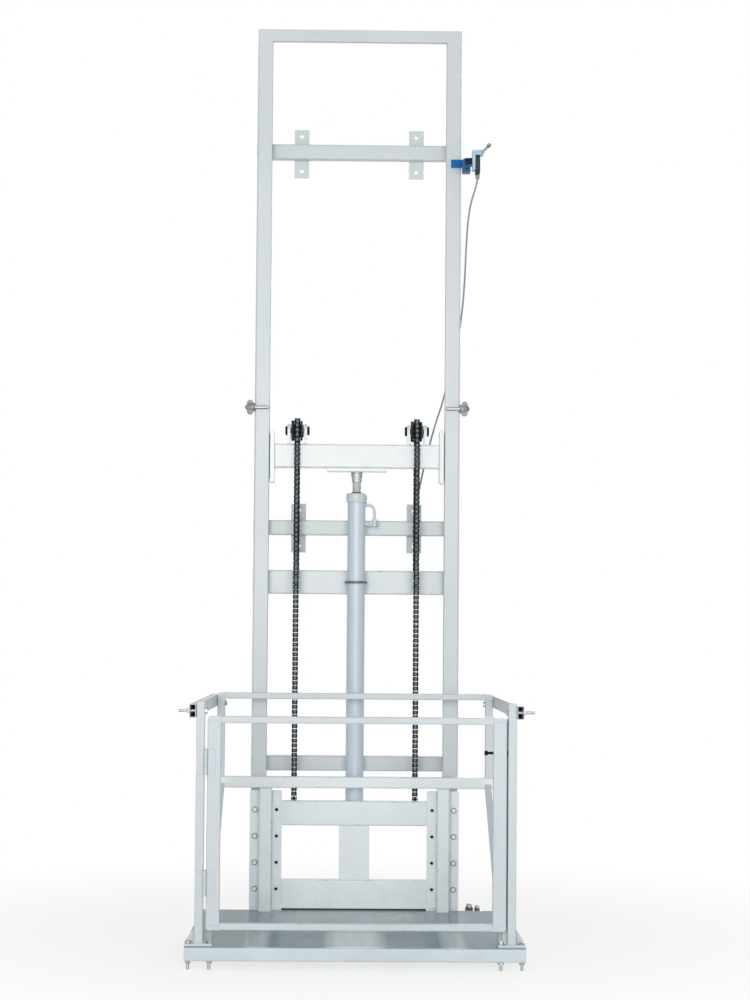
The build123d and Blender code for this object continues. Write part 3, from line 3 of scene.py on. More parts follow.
import bmesh
import bpy
from mathutils import Matrix, Vector
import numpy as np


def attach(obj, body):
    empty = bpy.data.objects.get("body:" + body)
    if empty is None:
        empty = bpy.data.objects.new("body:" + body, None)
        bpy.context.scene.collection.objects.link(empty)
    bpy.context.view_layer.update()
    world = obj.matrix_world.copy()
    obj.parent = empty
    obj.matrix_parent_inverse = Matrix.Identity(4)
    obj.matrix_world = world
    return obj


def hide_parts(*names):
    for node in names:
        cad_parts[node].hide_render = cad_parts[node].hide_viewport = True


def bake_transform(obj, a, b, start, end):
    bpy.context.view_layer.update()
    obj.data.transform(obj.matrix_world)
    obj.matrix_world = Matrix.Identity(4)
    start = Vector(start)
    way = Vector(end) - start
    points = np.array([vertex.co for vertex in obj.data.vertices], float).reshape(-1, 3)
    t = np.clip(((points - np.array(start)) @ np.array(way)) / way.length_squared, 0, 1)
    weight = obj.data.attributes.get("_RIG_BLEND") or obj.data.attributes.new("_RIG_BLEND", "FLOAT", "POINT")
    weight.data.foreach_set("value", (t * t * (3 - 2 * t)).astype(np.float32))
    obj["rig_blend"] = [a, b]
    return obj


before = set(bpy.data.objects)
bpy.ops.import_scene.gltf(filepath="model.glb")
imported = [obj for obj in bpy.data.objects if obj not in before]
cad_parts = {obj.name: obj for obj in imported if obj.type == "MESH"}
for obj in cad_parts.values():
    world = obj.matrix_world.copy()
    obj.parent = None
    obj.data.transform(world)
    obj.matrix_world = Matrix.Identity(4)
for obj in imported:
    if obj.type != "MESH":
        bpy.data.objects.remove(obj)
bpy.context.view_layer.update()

# Studio. A camera 7.5 m in front of the mast and 1.1 m up with a picture 1000 high, two soft lamps in front
# and one behind, a pale floor that keeps the lift's shadow, and a white world behind everything.
PICTURE_HEIGHT, FOCAL_PIXELS, FILM_HEIGHT = 1000, 2234.93, 36
CAMERA_PLACE = (-0.0507, -7.4926, 1.0642)
CAMERA_TURN, CAMERA_RISE, CAMERA_ROLL = 0.0150, 0.0477, 0.0076
LAMPS = {
    "key": ((-1.9, -10.0, 2.3), 3.2, 300),
    "fill": ((2.2, -10.0, 1.1), 3.6, 215),
    "back": ((2.5, 8.0, 4.2), 4.0, 280),
}
LAMP_AIM = Vector((0, -0.3, 1.2))
WHITE, AMBIENT = (1, 1, 1, 1), 0.42
PAPER, PAPER_PALE = (0.92, 0.92, 0.92), (0.95, 0.95, 0.95)
PAPER_REACH, PAPER_FADE, PAPER_WHITE = 9.0, (0.8, 2.0), 0.76


class Value:
    """One output of a node. Arithmetic on it adds Math nodes to the same tree."""

    def __init__(self, nodes, socket):
        self.nodes, self.socket = nodes, socket

    def __add__(self, other):
        return self.nodes.math("ADD", self, other)

    def __mul__(self, other):
        return self.nodes.math("MULTIPLY", self, other)

    def __sub__(self, other):
        return self.nodes.math("SUBTRACT", self, other)

    def __rsub__(self, other):
        return self.nodes.math("SUBTRACT", other, self)

    def __truediv__(self, other):
        return self.nodes.math("DIVIDE", self, other)

    __radd__, __rmul__ = __add__, __mul__

    def over(self, low, high):
        """0 below low, 1 above high, a straight ramp between."""
        sockets = {"Value": self, "From Min": low, "From Max": high}
        return self.nodes.add("ShaderNodeMapRange", sockets, {"clamp": True})


class Nodes:
    """A node tree that is being filled."""

    def __init__(self, tree):
        self.tree = tree
        tree.nodes.clear()

    def add(self, kind, sockets=None, settings=None, out=0):
        """A node of any kind; a list links several values to one socket."""
        made = self.tree.nodes.new(kind)
        for name, setting in (settings or {}).items():
            setattr(made, name, setting)
        for key, given in (sockets or {}).items():
            for one in given if isinstance(given, list) else [given]:
                if isinstance(one, Value):
                    self.tree.links.new(one.socket, made.inputs[key])
                else:
                    made.inputs[key].default_value = one
        return Value(self, made.outputs[out]) if made.outputs else made

    def math(self, operation, first, second=0.0):
        return self.add("ShaderNodeMath", {0: first, 1: second}, {"operation": operation})

    def layers(self, tone, *coats):
        """A colour with (share, colour) coats laid over it in turn."""
        for share, colour in coats:
            under, over = ((*one, 1) if isinstance(one, tuple) else one for one in (tone, colour))
            tone = self.add("ShaderNodeMix", {0: share, 6: under, 7: over}, {"data_type": "RGBA"}, 2)
        return tone

    def seen(self):
        """1 where the camera, a mirror or glass looks, 0 where light is gathered."""
        ray = self.add("ShaderNodeLightPath").socket.node
        kinds = ("Is Camera Ray", "Is Glossy Ray", "Is Transmission Ray")
        camera, mirror, glass = (Value(self, ray.outputs[kind]) for kind in kinds)
        return self.math("MINIMUM", camera + mirror + glass, 1.0)


def show(name, data):
    made = bpy.data.objects.new(name, data)
    bpy.context.scene.collection.objects.link(made)
    return made


def solid(name, shape):
    """A drawn shape as an object."""
    mesh = bpy.data.meshes.new(name)
    shape.to_mesh(mesh)
    shape.free()
    return show(name, mesh)


level = Vector((math.cos(CAMERA_TURN), -math.sin(CAMERA_TURN), 0))
ahead = Vector((math.sin(CAMERA_TURN), math.cos(CAMERA_TURN), math.tan(CAMERA_RISE))).normalized()
upright = level.cross(ahead)
lean, rest = math.sin(CAMERA_ROLL), math.cos(CAMERA_ROLL)
view_axes = Matrix((level * rest + upright * lean, upright * rest - level * lean, -ahead)).transposed()
camera = show("camera", bpy.data.cameras.new("camera"))
camera.matrix_world = Matrix.Translation(CAMERA_PLACE) @ view_axes.to_4x4()
camera.data.sensor_fit = "VERTICAL"
camera.data.sensor_height = FILM_HEIGHT
camera.data.lens = FILM_HEIGHT * FOCAL_PIXELS / PICTURE_HEIGHT
bpy.context.scene.camera = camera
bpy.context.scene.view_settings.view_transform = "Standard"

for name, (place, size, power) in LAMPS.items():
    lamp = show(name, bpy.data.lights.new(name, "AREA"))
    lamp.data.shape, lamp.data.size, lamp.data.energy = "DISK", size, power
    lamp.location = place
    lamp.rotation_mode = "QUATERNION"
    lamp.rotation_quaternion = (LAMP_AIM - Vector(place)).to_track_quat("-Z", "Y")

world = bpy.data.worlds.new("studio")
bpy.context.scene.world = world
world.use_nodes = True
sky = Nodes(world.node_tree)
strength = AMBIENT + (1 - AMBIENT) * sky.seen()
glow = sky.add("ShaderNodeBackground", {"Color": WHITE, "Strength": strength})
sky.add("ShaderNodeOutputWorld", {"Surface": glow})

shape = bmesh.new()
bmesh.ops.create_circle(shape, cap_ends=True, segments=96, radius=PAPER_REACH)
floor = solid("floor", shape)
floor_finish = bpy.data.materials.new("studio_floor")
floor_finish.use_nodes = True
paper = Nodes(floor_finish.node_tree)
spot = paper.add("ShaderNodeTexCoord", out="Object")
distance = paper.add("ShaderNodeVectorMath", {0: spot}, {"operation": "LENGTH"}, "Value")
grain = paper.add("ShaderNodeTexNoise", {"Vector": spot, "Scale": 6.0, "Detail": 3.0})
matt = paper.add("ShaderNodeBsdfDiffuse", {"Color": paper.layers(PAPER, (grain, PAPER_PALE))})
blank = paper.add("ShaderNodeEmission", {"Color": WHITE, "Strength": 1.0})
white = (PAPER_WHITE + (1 - PAPER_WHITE) * distance.over(*PAPER_FADE)) * paper.seen()
faded = paper.add("ShaderNodeMixShader", {0: white, 1: matt, 2: blank})
paper.add("ShaderNodeOutputMaterial", {"Surface": faded})
floor.data.materials.append(floor_finish)


# Base plate. A 10 mm steel plate that the rails are welded to, with four holes for floor anchors,
# powder coated light grey with the rest of the frame.
MM = 0.001
FRAME_GREY, FRAME_GREY_DEEP = (0.625, 0.675, 0.690), (0.575, 0.628, 0.646)
PRIMER, DUST = (0.36, 0.38, 0.39), (0.50, 0.49, 0.46)
SMOOTH_BELOW, EASED_ABOVE, FLAT_BELOW = (math.radians(angle) for angle in (38, 40, 0.5))
MERGED_WITHIN = 1e-6


class Finish(Nodes):
    """The material of one finish and its slot, with patterns laid over the piece's own coordinates."""

    def __init__(self, name, slot):
        self.material, self.slot = bpy.data.materials.new(name), slot
        self.material.use_nodes = True
        super().__init__(self.material.node_tree)
        self.place = self.add("ShaderNodeTexCoord", out="Object")

    def noise(self, scale, detail=2.0, stretch=None, roughness=0.5):
        place = self.place
        if stretch:
            place = self.add("ShaderNodeMapping", {"Vector": place, "Scale": stretch})
        sockets = {"Vector": place, "Scale": scale, "Detail": detail, "Roughness": roughness}
        return self.add("ShaderNodeTexNoise", sockets)

    def along(self, axis):
        return self.add("ShaderNodeSeparateXYZ", {"Vector": self.place}, out=axis)

    def edge(self):
        """The mark that the mesh carries on its rubbed faces."""
        return self.add("ShaderNodeAttribute", None, {"attribute_name": "edge"}, "Fac")

    def surface(self, tone, rough, height, depth, strength, **constants):
        """Ends the finish as one surface with a fine relief."""
        relief = self.add("ShaderNodeBump", {"Height": height, "Distance": depth, "Strength": strength})
        sockets = {"Base Color": tone, "Roughness": rough, "Normal": relief}
        sockets.update({name.replace("_", " "): given for name, given in constants.items()})
        skin = self.add("ShaderNodeBsdfPrincipled", sockets)
        self.add("ShaderNodeOutputMaterial", {"Surface": skin})
        return self


def powder_coat(name, colour, deep, gloss=0.30, peel=0.35, slot="frame_paint"):
    """Oven-cured paint: an uneven film, orange peel, rubbed edges, scuffs, and dust near the floor."""
    coat = Finish(name, slot)
    film, cloud, skin = coat.noise(2.3, 3.0), coat.noise(17.0, 4.0), coat.noise(520.0, 1.0)
    scuff, speck = coat.noise(34.0, 5.0, (1, 1, 6), 0.65), coat.noise(210.0, 3.0)
    low = 1 - coat.along("Z").over(0.02, 0.55)
    rubbed = coat.edge() * coat.noise(46.0, 5.0, None, 0.6).over(0.56, 0.70)
    soiled = (0.05 + low * 0.20) * cloud.over(0.44, 0.74)
    scraped = scuff.over(0.70, 0.78) * 0.35
    tone = coat.layers(colour, (film.over(0.3, 0.7), deep), (soiled, DUST),
                       (scraped, tuple(channel * 0.86 for channel in colour)), (rubbed * 0.45, PRIMER))
    rough = gloss + soiled * 0.5 + scraped * 0.25 + speck * 0.05 + film * 0.06
    return coat.surface(tone, rough, skin * 0.7 + cloud * 0.5, 0.00022, peel, IOR=1.5)


def settle(made):
    """Runs an object's modifiers once and keeps the result as its plain mesh."""
    bpy.context.view_layer.update()
    graph = bpy.context.evaluated_depsgraph_get()
    mesh = bpy.data.meshes.new_from_object(made.evaluated_get(graph))
    made.modifiers.clear()
    made.data = mesh
    mesh.name = made.name
    return made


def weigh(made):
    """Keeps flat faces flat beside rounded edges."""
    made.modifiers.new("weigh", "WEIGHTED_NORMAL").keep_sharp = True
    return settle(made)


def smooth_faces(shape):
    for face in shape.faces:
        face.smooth = True
    for edge in shape.edges:
        edge.smooth = edge.calc_face_angle(math.pi) < SMOOTH_BELOW


def hand_over(made, name, body, nodes):
    """Lets a piece ride on a body, in place of the CAD nodes given or of the one with its own name."""
    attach(made, body)
    nodes = nodes or [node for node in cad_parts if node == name]
    if nodes:
        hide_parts(*nodes)
    return made


def piece(name, shape, finish, body, *nodes):
    """A finished shape as an object with its finish."""
    smooth_faces(shape)
    made = solid(name, shape)
    made.data.materials.append(finish.material)
    return hand_over(weigh(made), name, body, nodes)


def ease(shape, edges, width, steps=2):
    """Rounds edges and marks the new faces as rubbed ones."""
    done = bmesh.ops.bevel(shape, geom=edges, offset=width * MM, segments=steps, profile=0.5,
                           affect="EDGES", clamp_overlap=True)
    layer = shape.faces.layers.float["edge"]
    for face in done["faces"]:
        face[layer] = 1.0


def eased_node(node, width, finish, body):
    """A copy of a CAD node's mesh with its sharp edges eased."""
    shape = bmesh.new()
    shape.from_mesh(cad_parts[node].data)
    shape.faces.layers.float.new("edge")
    bmesh.ops.remove_doubles(shape, verts=shape.verts, dist=MERGED_WITHIN)
    bmesh.ops.dissolve_limit(shape, angle_limit=FLAT_BELOW, verts=shape.verts, edges=shape.edges)
    ease(shape, [edge for edge in shape.edges if edge.calc_face_angle(0) > EASED_ABOVE], width)
    return piece(node, shape, finish, body)


frame_paint = powder_coat("frame_powder_coat", FRAME_GREY, FRAME_GREY_DEEP)
eased_node("base_plate", 1.0, frame_paint, "mast")


# Mast rails. Cold-formed 50 by 50 by 5 channels, open towards each other so that the guides run inside them,
# in two lengths that meet at the joint, welded to the base plate and the bars.
RAIL_MOUTH, RAIL_OUTER, RAIL_BACK, RAIL_WALL = 294.0, 344.0, 25.0, 5.0
RAIL_BEND, RAIL_INNER_BEND, RAIL_LIP = 7.0, 2.5, 2.2
BASE_TOP, JOINT_Z, RAIL_TOP = 10.0, 1728.0, 2970.0


def new_shape():
    """An empty drawing whose faces can be marked as rubbed."""
    shape = bmesh.new()
    shape.faces.layers.float.new("edge")
    return shape


def in_space(along, a, b, h):
    """A section's point at a height along the axis it is drawn out on."""
    return Vector({"X": (h, a, b), "Y": (b, h, a), "Z": (a, b, h)}[along]) * MM


def loft(shape, rings, around=True, ends=False, marked=None):
    """Faces between rings of points, as a closed band or with caps at its ends."""
    layer = shape.faces.layers.float["edge"]
    rows = [[shape.verts.new(point) for point in ring] for ring in rings]
    last = len(rows) if around else len(rows) - 1
    for row in range(last):
        low, high = rows[row], rows[(row + 1) % len(rows)]
        for step in range(len(low)):
            after = (step + 1) % len(low)
            face = shape.faces.new((low[step], low[after], high[after], high[step]))
            face[layer] = float(marked(row, step)) if marked else 0.0
    if ends:
        shape.faces.new(rows[0][::-1])
        shape.faces.new(rows[-1])
    return rows


def stack(shape, along, rows, **how):
    """Faces between outlines at their heights along an axis."""
    return loft(shape, [[in_space(along, *point, height) for point in ring] for ring, height in rows], **how)


def filleted(corners, steps=4):
    """A closed outline from (a, b, radius) corners, with each corner rounded."""
    points = []
    for number, (a, b, radius) in enumerate(corners):
        corner = Vector((a, b))
        before, after = (Vector(corners[(number + step) % len(corners)][:2]) - corner for step in (-1, 1))
        half = before.angle(after) / 2
        before.normalize()
        after.normalize()
        reach = radius / math.tan(half)
        middle = corner + (before + after).normalized() * radius / math.sin(half)
        first, last = corner + before * reach - middle, corner + after * reach - middle
        swing = first.angle_signed(last)
        points += [middle + Matrix.Rotation(-swing * step / steps, 2) @ first for step in range(steps + 1)]
    return [tuple(point) for point in points]


def draw_out(shape, outline, along, low, high, chamfer=0.0):
    """An outline drawn out between two heights, with capped ends."""
    rows = stack(shape, along, [(outline, low), (outline, high)], around=False, ends=True)
    if chamfer:
        rims = [edge for row in rows for edge in shape.edges
                if edge.verts[0] in row and edge.verts[1] in row]
        ease(shape, rims, chamfer)
    return shape


def twin(shape):
    """Adds the left-hand twin of everything drawn so far."""
    copied = bmesh.ops.duplicate(shape, geom=shape.verts[:] + shape.edges[:] + shape.faces[:])["geom"]
    for part in copied:
        if isinstance(part, bmesh.types.BMVert):
            part.co.x = -part.co.x
    bmesh.ops.reverse_faces(shape, faces=[part for part in copied if isinstance(part, bmesh.types.BMFace)])
    return shape


rail_inside, rail_floor = RAIL_BACK - RAIL_WALL, RAIL_OUTER - RAIL_WALL
rail_outline = filleted([
    (RAIL_MOUTH, -RAIL_BACK, RAIL_LIP), (RAIL_OUTER, -RAIL_BACK, RAIL_BEND),
    (RAIL_OUTER, RAIL_BACK, RAIL_BEND), (RAIL_MOUTH, RAIL_BACK, RAIL_LIP),
    (RAIL_MOUTH, rail_inside, RAIL_LIP), (rail_floor, rail_inside, RAIL_INNER_BEND),
    (rail_floor, -rail_inside, RAIL_INNER_BEND), (RAIL_MOUTH, -rail_inside, RAIL_LIP)])
for name, low, high in (("lower_rails", BASE_TOP, JOINT_Z), ("upper_rails", JOINT_Z, RAIL_TOP)):
    piece(name, twin(draw_out(new_shape(), rail_outline, "Z", low, high, 0.6)), frame_paint, "mast")


# Bars of the mast. A bar over the rails' tops, slim between its end blocks and ground flush in front,
# three rectangular tubes across their backs, and the taller beam for the ram and the chains' rear ends.
TOP_BAR, TOP_BAR_BEND, SLIM_BACK = (2970.0, 3010.0), 4.0, -5.0
GROUND_WELD_DEPTH, GROUND_WELD = (-25.15, -20.0), (2966.0, 2977.0)
CROSSBAR_MIDDLES, CROSSBAR_HALF = (2604.0, 1328.0, 539.0), 25.0
CYLINDER_BEAM = (1105.0, 1185.0)
BAR_DEPTH, BAR_WALL, BAR_BEND = (25.0, 65.0), 3.0, 5.0
MAST_SPAN = (-RAIL_OUTER, RAIL_OUTER)
CUT, CORNER_STEPS = 0.6, 4


def rounded(a, b, radius):
    """A rectangle with rounded corners, anticlockwise."""
    middles = ((a[1] - radius, b[1] - radius), (a[0] + radius, b[1] - radius),
               (a[0] + radius, b[0] + radius), (a[1] - radius, b[0] + radius))
    points = []
    for corner, (ca, cb) in enumerate(middles):
        for step in range(CORNER_STEPS + 1):
            turn = math.pi / 2 * (corner + step / CORNER_STEPS)
            points.append((ca + radius * math.cos(turn), cb + radius * math.sin(turn)))
    return points


def spans(along, x, y, z):
    """The two spans of a section and the span that it is drawn out over."""
    return {"X": (y, z, x), "Y": (z, x, y), "Z": (x, y, z)}[along]


def grown(span, by):
    return min(span) - by, max(span) + by


def about(middle, half):
    return middle - half, middle + half


def in_corner(row, step):
    """Whether a tube's face lies in a rounded corner or at a cut end."""
    return row in (1, 3) or (row == 2 and step % (CORNER_STEPS + 1) != CORNER_STEPS)


def tube(shape, x, y, z, wall, along, radius):
    """A welded rectangular tube with rounded corners and open, deburred ends."""
    a, b, h = spans(along, x, y, z)
    low, high = min(h), max(h)
    outer = rounded(grown(a, 0), grown(b, 0), radius)
    eased = rounded(grown(a, -CUT), grown(b, -CUT), radius - CUT)
    inner = rounded(grown(a, -wall), grown(b, -wall), max(radius - wall, CUT))
    rows = ((inner, low), (eased, low), (outer, low + CUT), (outer, high - CUT), (eased, high), (inner, high))
    stack(shape, along, rows, marked=in_corner)
    return shape


def bar(shape, x, y, z, along, radius, cut=1.0):
    """A solid bar with rounded corners along its length and eased ends."""
    a, b, h = spans(along, x, y, z)
    low, high = min(h), max(h)
    outer = rounded(grown(a, 0), grown(b, 0), radius)
    eased = rounded(grown(a, -cut), grown(b, -cut), max(radius - cut, 0.1))
    rows = ((eased, low), (outer, low + cut), (outer, high - cut), (eased, high))
    stack(shape, along, rows, around=False, ends=True, marked=lambda row, step: in_corner(row + 1, step))
    return shape


shape = bar(new_shape(), (RAIL_MOUTH + 0.2, RAIL_OUTER - 0.2), GROUND_WELD_DEPTH, GROUND_WELD, "X", 0.5, 0.3)
top_corners = [
    (-RAIL_OUTER, -RAIL_BACK), (RAIL_OUTER, -RAIL_BACK), (RAIL_OUTER, RAIL_BACK), (RAIL_MOUTH, RAIL_BACK),
    (RAIL_MOUTH, SLIM_BACK), (-RAIL_MOUTH, SLIM_BACK), (-RAIL_MOUTH, RAIL_BACK), (-RAIL_OUTER, RAIL_BACK)]
top_outline = filleted([(*corner, TOP_BAR_BEND) for corner in top_corners])
piece("top_bar", draw_out(twin(shape), top_outline, "Z", *TOP_BAR, 2.0), frame_paint, "mast")
shape = new_shape()
for middle in CROSSBAR_MIDDLES:
    tube(shape, MAST_SPAN, BAR_DEPTH, about(middle, CROSSBAR_HALF), BAR_WALL, "X", BAR_BEND)
piece("crossbars", shape, frame_paint, "mast")
# The beam coat is a lighter copy of the frame coat: its extra lightness is a painted highlight.
beam_paint_lit = powder_coat("beam_powder_coat", (0.690, 0.738, 0.760), (0.635, 0.686, 0.708), 0.24)
shape = tube(new_shape(), MAST_SPAN, BAR_DEPTH, CYLINDER_BEAM, BAR_WALL, "X", BAR_BEND)
piece("cylinder_beam", shape, beam_paint_lit, "mast")


# Wall plates. Flat 8 mm plates welded upright to the backs of the upper and middle crossbars,
# each with a hole above and a hole below the bar for a wall anchor.
eased_node("wall_plates", 1.2, frame_paint, "mast")


# Joint clamps. A plated rod across the front of each rail where its two lengths meet, threaded outside
# the rail for a full-bodied cast wing nut, darkened by handling.
CLAMP_ROD, CLAMP_END, CLAMP_Y = 12.0, 368.0, -31.0
WING_SEAT, WING_HUB, WING_DOME = 346.0, 28.0, 30.0
WING_SPAN, WING_REACH, WING_THICK = 52.0, 25.0, 15.0
RIGHT, BACK, UP = (1, 0, 0), (0, 1, 0), (0, 0, 1)
LEAST_RADIUS = 0.02


def zinc_plate(name, shade):
    """Bright zinc over steel: crystalline patches, faint handling marks and a bluish cast."""
    metal = Finish(name, "zinc")
    grains = metal.add("ShaderNodeTexVoronoi", {"Vector": metal.place, "Scale": 310.0}, out="Color")
    patch = metal.add("ShaderNodeSeparateColor", {"Color": grains})
    dull = metal.noise(90.0, 4.0)
    rubbed = metal.edge() * dull.over(0.4, 0.6)
    tone = metal.layers((shade * 0.90, shade * 0.93, shade * 0.97),
                        (patch, (shade * 1.08, shade * 1.10, shade * 1.12)),
                        (dull.over(0.58, 0.78) * 0.4, (shade * 0.62, shade * 0.62, shade * 0.60)),
                        (rubbed * 0.5, (0.80, 0.81, 0.82)))
    rough = 0.30 + patch * 0.12 + dull * 0.14
    return metal.surface(tone, rough, metal.noise(700.0, 2.0), 0.0001, 0.2, Metallic=1.0)


def cast_metal():
    """Rough casting, greyed by handling, with its rims worn bright."""
    metal = Finish("cast_zinc", "zinc")
    grain, soil = metal.noise(420.0, 3.0), metal.noise(70.0, 5.0)
    tone = metal.layers((0.34, 0.345, 0.35), (soil.over(0.35, 0.65), (0.17, 0.175, 0.18)),
                        (metal.edge() * grain.over(0.4, 0.6) * 0.6, (0.62, 0.63, 0.64)))
    return metal.surface(tone, 0.42 + soil * 0.2, grain, 0.0003, 0.5, Metallic=0.2)


def frame_of(axis):
    """Two directions square to an axis, and the axis."""
    axis = Vector(axis).normalized()
    side = Vector(UP) if abs(axis.z) < 0.9 else Vector(BACK)
    across = side.cross(axis).normalized()
    return across, axis.cross(across), axis


def circle(steps):
    """Points round a circle of radius 1."""
    turns = [2 * math.pi * step / steps for step in range(steps)]
    return [(math.cos(turn), math.sin(turn)) for turn in turns]


def lathe(shape, profile, origin, axis=UP, steps=32, closed=False, marked=()):
    """A round piece from (radius, height) points that climb its outside; closed goes back down a bore."""
    across, other, axis = frame_of(axis)
    rings = []
    for radius, height in profile:
        middle = Vector(origin) + axis * height
        rings.append([(middle + (across * c + other * s) * max(radius, LEAST_RADIUS)) * MM
                      for c, s in circle(steps)])
    loft(shape, rings, around=closed, ends=not closed, marked=lambda row, step: row in marked)
    return shape


def round_bar(shape, start, end, diameter, steps=24, cut=0.6):
    run = Vector(end) - Vector(start)
    radius, length = diameter / 2, run.length
    profile = [(radius - cut, 0), (radius, cut), (radius, length - cut), (radius - cut, length)]
    return lathe(shape, profile, start, run, steps, marked=(0, 2))


def threaded(shape, start, end, diameter, pitch=1.75, steps=14):
    """A screw thread as close rings, with a tapered tip at its end."""
    run = Vector(end) - Vector(start)
    crest, root = diameter / 2, diameter / 2 - 0.55 * pitch
    profile = [(root, 0)]
    for turn in range(int(run.length / pitch)):
        profile += [(crest, (turn + 0.5) * pitch), (root, (turn + 1) * pitch)]
    profile[-1] = (root - 0.6, run.length)
    return lathe(shape, profile, start, run, steps)


zinc = zinc_plate("bright_zinc", 0.42)
thread_start, clamp_tip = (RAIL_OUTER + 1, CLAMP_Y, JOINT_Z), (CLAMP_END, CLAMP_Y, JOINT_Z)
shape = round_bar(new_shape(), (RAIL_MOUTH + 4, CLAMP_Y, JOINT_Z), thread_start, CLAMP_ROD)
piece("clamp_rods", twin(shape), zinc, "mast", "joint_clamps")
shape = threaded(new_shape(), thread_start, clamp_tip, CLAMP_ROD)
half_span, hub = WING_SPAN / 2, WING_HUB / 2
wing_half = [(hub, 1, 2), (half_span, 8, 7), (half_span - 4, WING_REACH - 3, 7), (8, WING_REACH, 6)]
wing = [(JOINT_Z + way * across, WING_SEAT + reach, bend)
        for way, corners in ((1, wing_half), (-1, wing_half[::-1])) for across, reach, bend in corners]
draw_out(shape, filleted(wing), "Y", *about(CLAMP_Y, WING_THICK / 2), 2.2)
dome = [(hub - 1, 0), (hub, 1), (hub, 13), (hub - 1.2, 19), (hub - 3.6, 24), (hub - 7.5, 28),
        (1.5, WING_DOME)]
lathe(shape, dome, (WING_SEAT, CLAMP_Y, JOINT_Z), RIGHT, 28)
lathe(shape, [(14.5, 0), (15, 0.4), (15, 1.6), (14.5, 2)], (RAIL_OUTER, CLAMP_Y, JOINT_Z), RIGHT, 28)
piece("wing_nuts", twin(shape), cast_metal(), "mast", "joint_clamps")


# Ram, fixed parts. A turned foot welded to the base plate, a 60 mm drawn barrel in pale enamel,
# and a screwed gland at its top with a rubber wiper round the rod.
RAM_Y = -21.671
RAM = (0, RAM_Y, 0)
FOOT_PROFILE = [(37, 10), (38, 11), (38, 24), (37.2, 25.2), (31, 38), (30, 40), (24, 40), (24, 55)]
BARREL_PROFILE = [(25, 40.2), (29.4, 40.2), (30, 41), (30, 1411.4), (29.4, 1412), (25, 1412)]
GLAND_PROFILE = [(15.4, 1412), (34.2, 1412), (35, 1412.8), (35, 1416), (34.2, 1416.8), (34.2, 1418.6),
                 (35, 1419.4), (35, 1438.6), (32.2, 1442), (21, 1442), (20, 1441), (15.4, 1441)]
WIPER_PROFILE = [(15.1, 1440), (20, 1440), (20, 1443), (19, 1444), (16.4, 1444.4), (15.1, 1446)]
BARREL_BLUE, BARREL_BLUE_DEEP = (0.600, 0.680, 0.752), (0.545, 0.628, 0.706)


def moulded(name, colour, bloomed, rough=0.55):
    """Moulded rubber or plastic with a fine even texture, a pale bloom and rubbed edges."""
    skin = Finish(name, name)
    pits, bloom = skin.noise(900.0, 2.0), skin.noise(60.0, 4.0)
    tone = skin.layers(colour, (bloom.over(0.4, 0.7), bloomed), (skin.edge() * 0.25, (0.09, 0.095, 0.10)))
    return skin.surface(tone, rough + bloom * 0.16, pits, 0.00015, 0.35, Specular_IOR_Level=0.3)


def turned(name, profile, finish, body, *nodes, origin=RAM, steps=48, closed=False, marked=()):
    """An upright turned piece."""
    return piece(name, lathe(new_shape(), profile, origin, UP, steps, closed, marked), finish, body, *nodes)


barrel_paint = powder_coat("barrel_enamel", BARREL_BLUE, BARREL_BLUE_DEEP, 0.24, 0.18, "barrel_paint")
black_rubber = moulded("black_rubber", (0.016, 0.016, 0.017), (0.030, 0.030, 0.032))
turned("cylinder_foot", FOOT_PROFILE, frame_paint, "mast", marked=(0, 2))
turned("cylinder_barrel", BARREL_PROFILE, barrel_paint, "mast", steps=56, closed=True, marked=(1, 3))
turned("cylinder_gland", GLAND_PROFILE, frame_paint, "mast", steps=56, closed=True, marked=(1, 3, 5, 7))
turned("rod_wiper", WIPER_PROFILE, black_rubber, "mast", closed=True)


# Barrel clamp. A saddle block and a slim U-bolt in dull zinc that hold the barrel to its beam,
# with a nut and washer on each threaded leg behind the beam.
STRAP_REACH, STRAP_ROD, STRAP_TIP, STRAP_PITCH, STRAP_STEPS = 34.1, 7.6, 87.0, 1.5, 24
CLAMP_Z, BAR_BACK = 1145.0, 65.0
SADDLE_HALF, SADDLE_SEAT, SADDLE = 25.0, 30.3, (1115.0, 1175.0)
SEAT_START, SEAT_SWING, SADDLE_STEPS = 145.6, 111.2, 12
SIDES = (-1, 1)


def swept(shape, line, diameter, steps=14):
    """A round bar along a line of points."""
    points = [Vector(point) for point in line]
    rings = []
    across = None
    for number, point in enumerate(points):
        before, after = points[max(number - 1, 0)], points[min(number + 1, len(points) - 1)]
        run = (after - before).normalized()
        across = frame_of(run)[0] if across is None else (across - run * across.dot(run)).normalized()
        other = run.cross(across)
        rings.append([(point + (across * c + other * s) * diameter / 2) * MM for c, s in circle(steps)])
    loft(shape, rings, around=False, ends=True)
    return shape


def tree_inputs(name, inputs):
    """A geometry tree with named inputs, its filler, and the values that its inputs give."""
    tree = bpy.data.node_groups.new(name, "GeometryNodeTree")
    for label, kind in inputs.items():
        tree.interface.new_socket(label, in_out="INPUT", socket_type="NodeSocket" + kind)
    tree.interface.new_socket("Geometry", in_out="OUTPUT", socket_type="NodeSocketGeometry")
    filler = Nodes(tree)
    source = tree.nodes.new("NodeGroupInput")
    return tree, filler, {label: Value(filler, source.outputs[label]) for label in inputs}


def close_tree(filler, made, material):
    """Ends a tree as the export needs it: real faces with a material."""
    made = filler.add("GeometryNodeRealizeInstances", {"Geometry": made})
    made = filler.add("GeometryNodeSetMaterial", {"Geometry": made, "Material": material})
    out = filler.tree.nodes.new("NodeGroupOutput")
    filler.tree.links.new(made.socket, out.inputs[0])


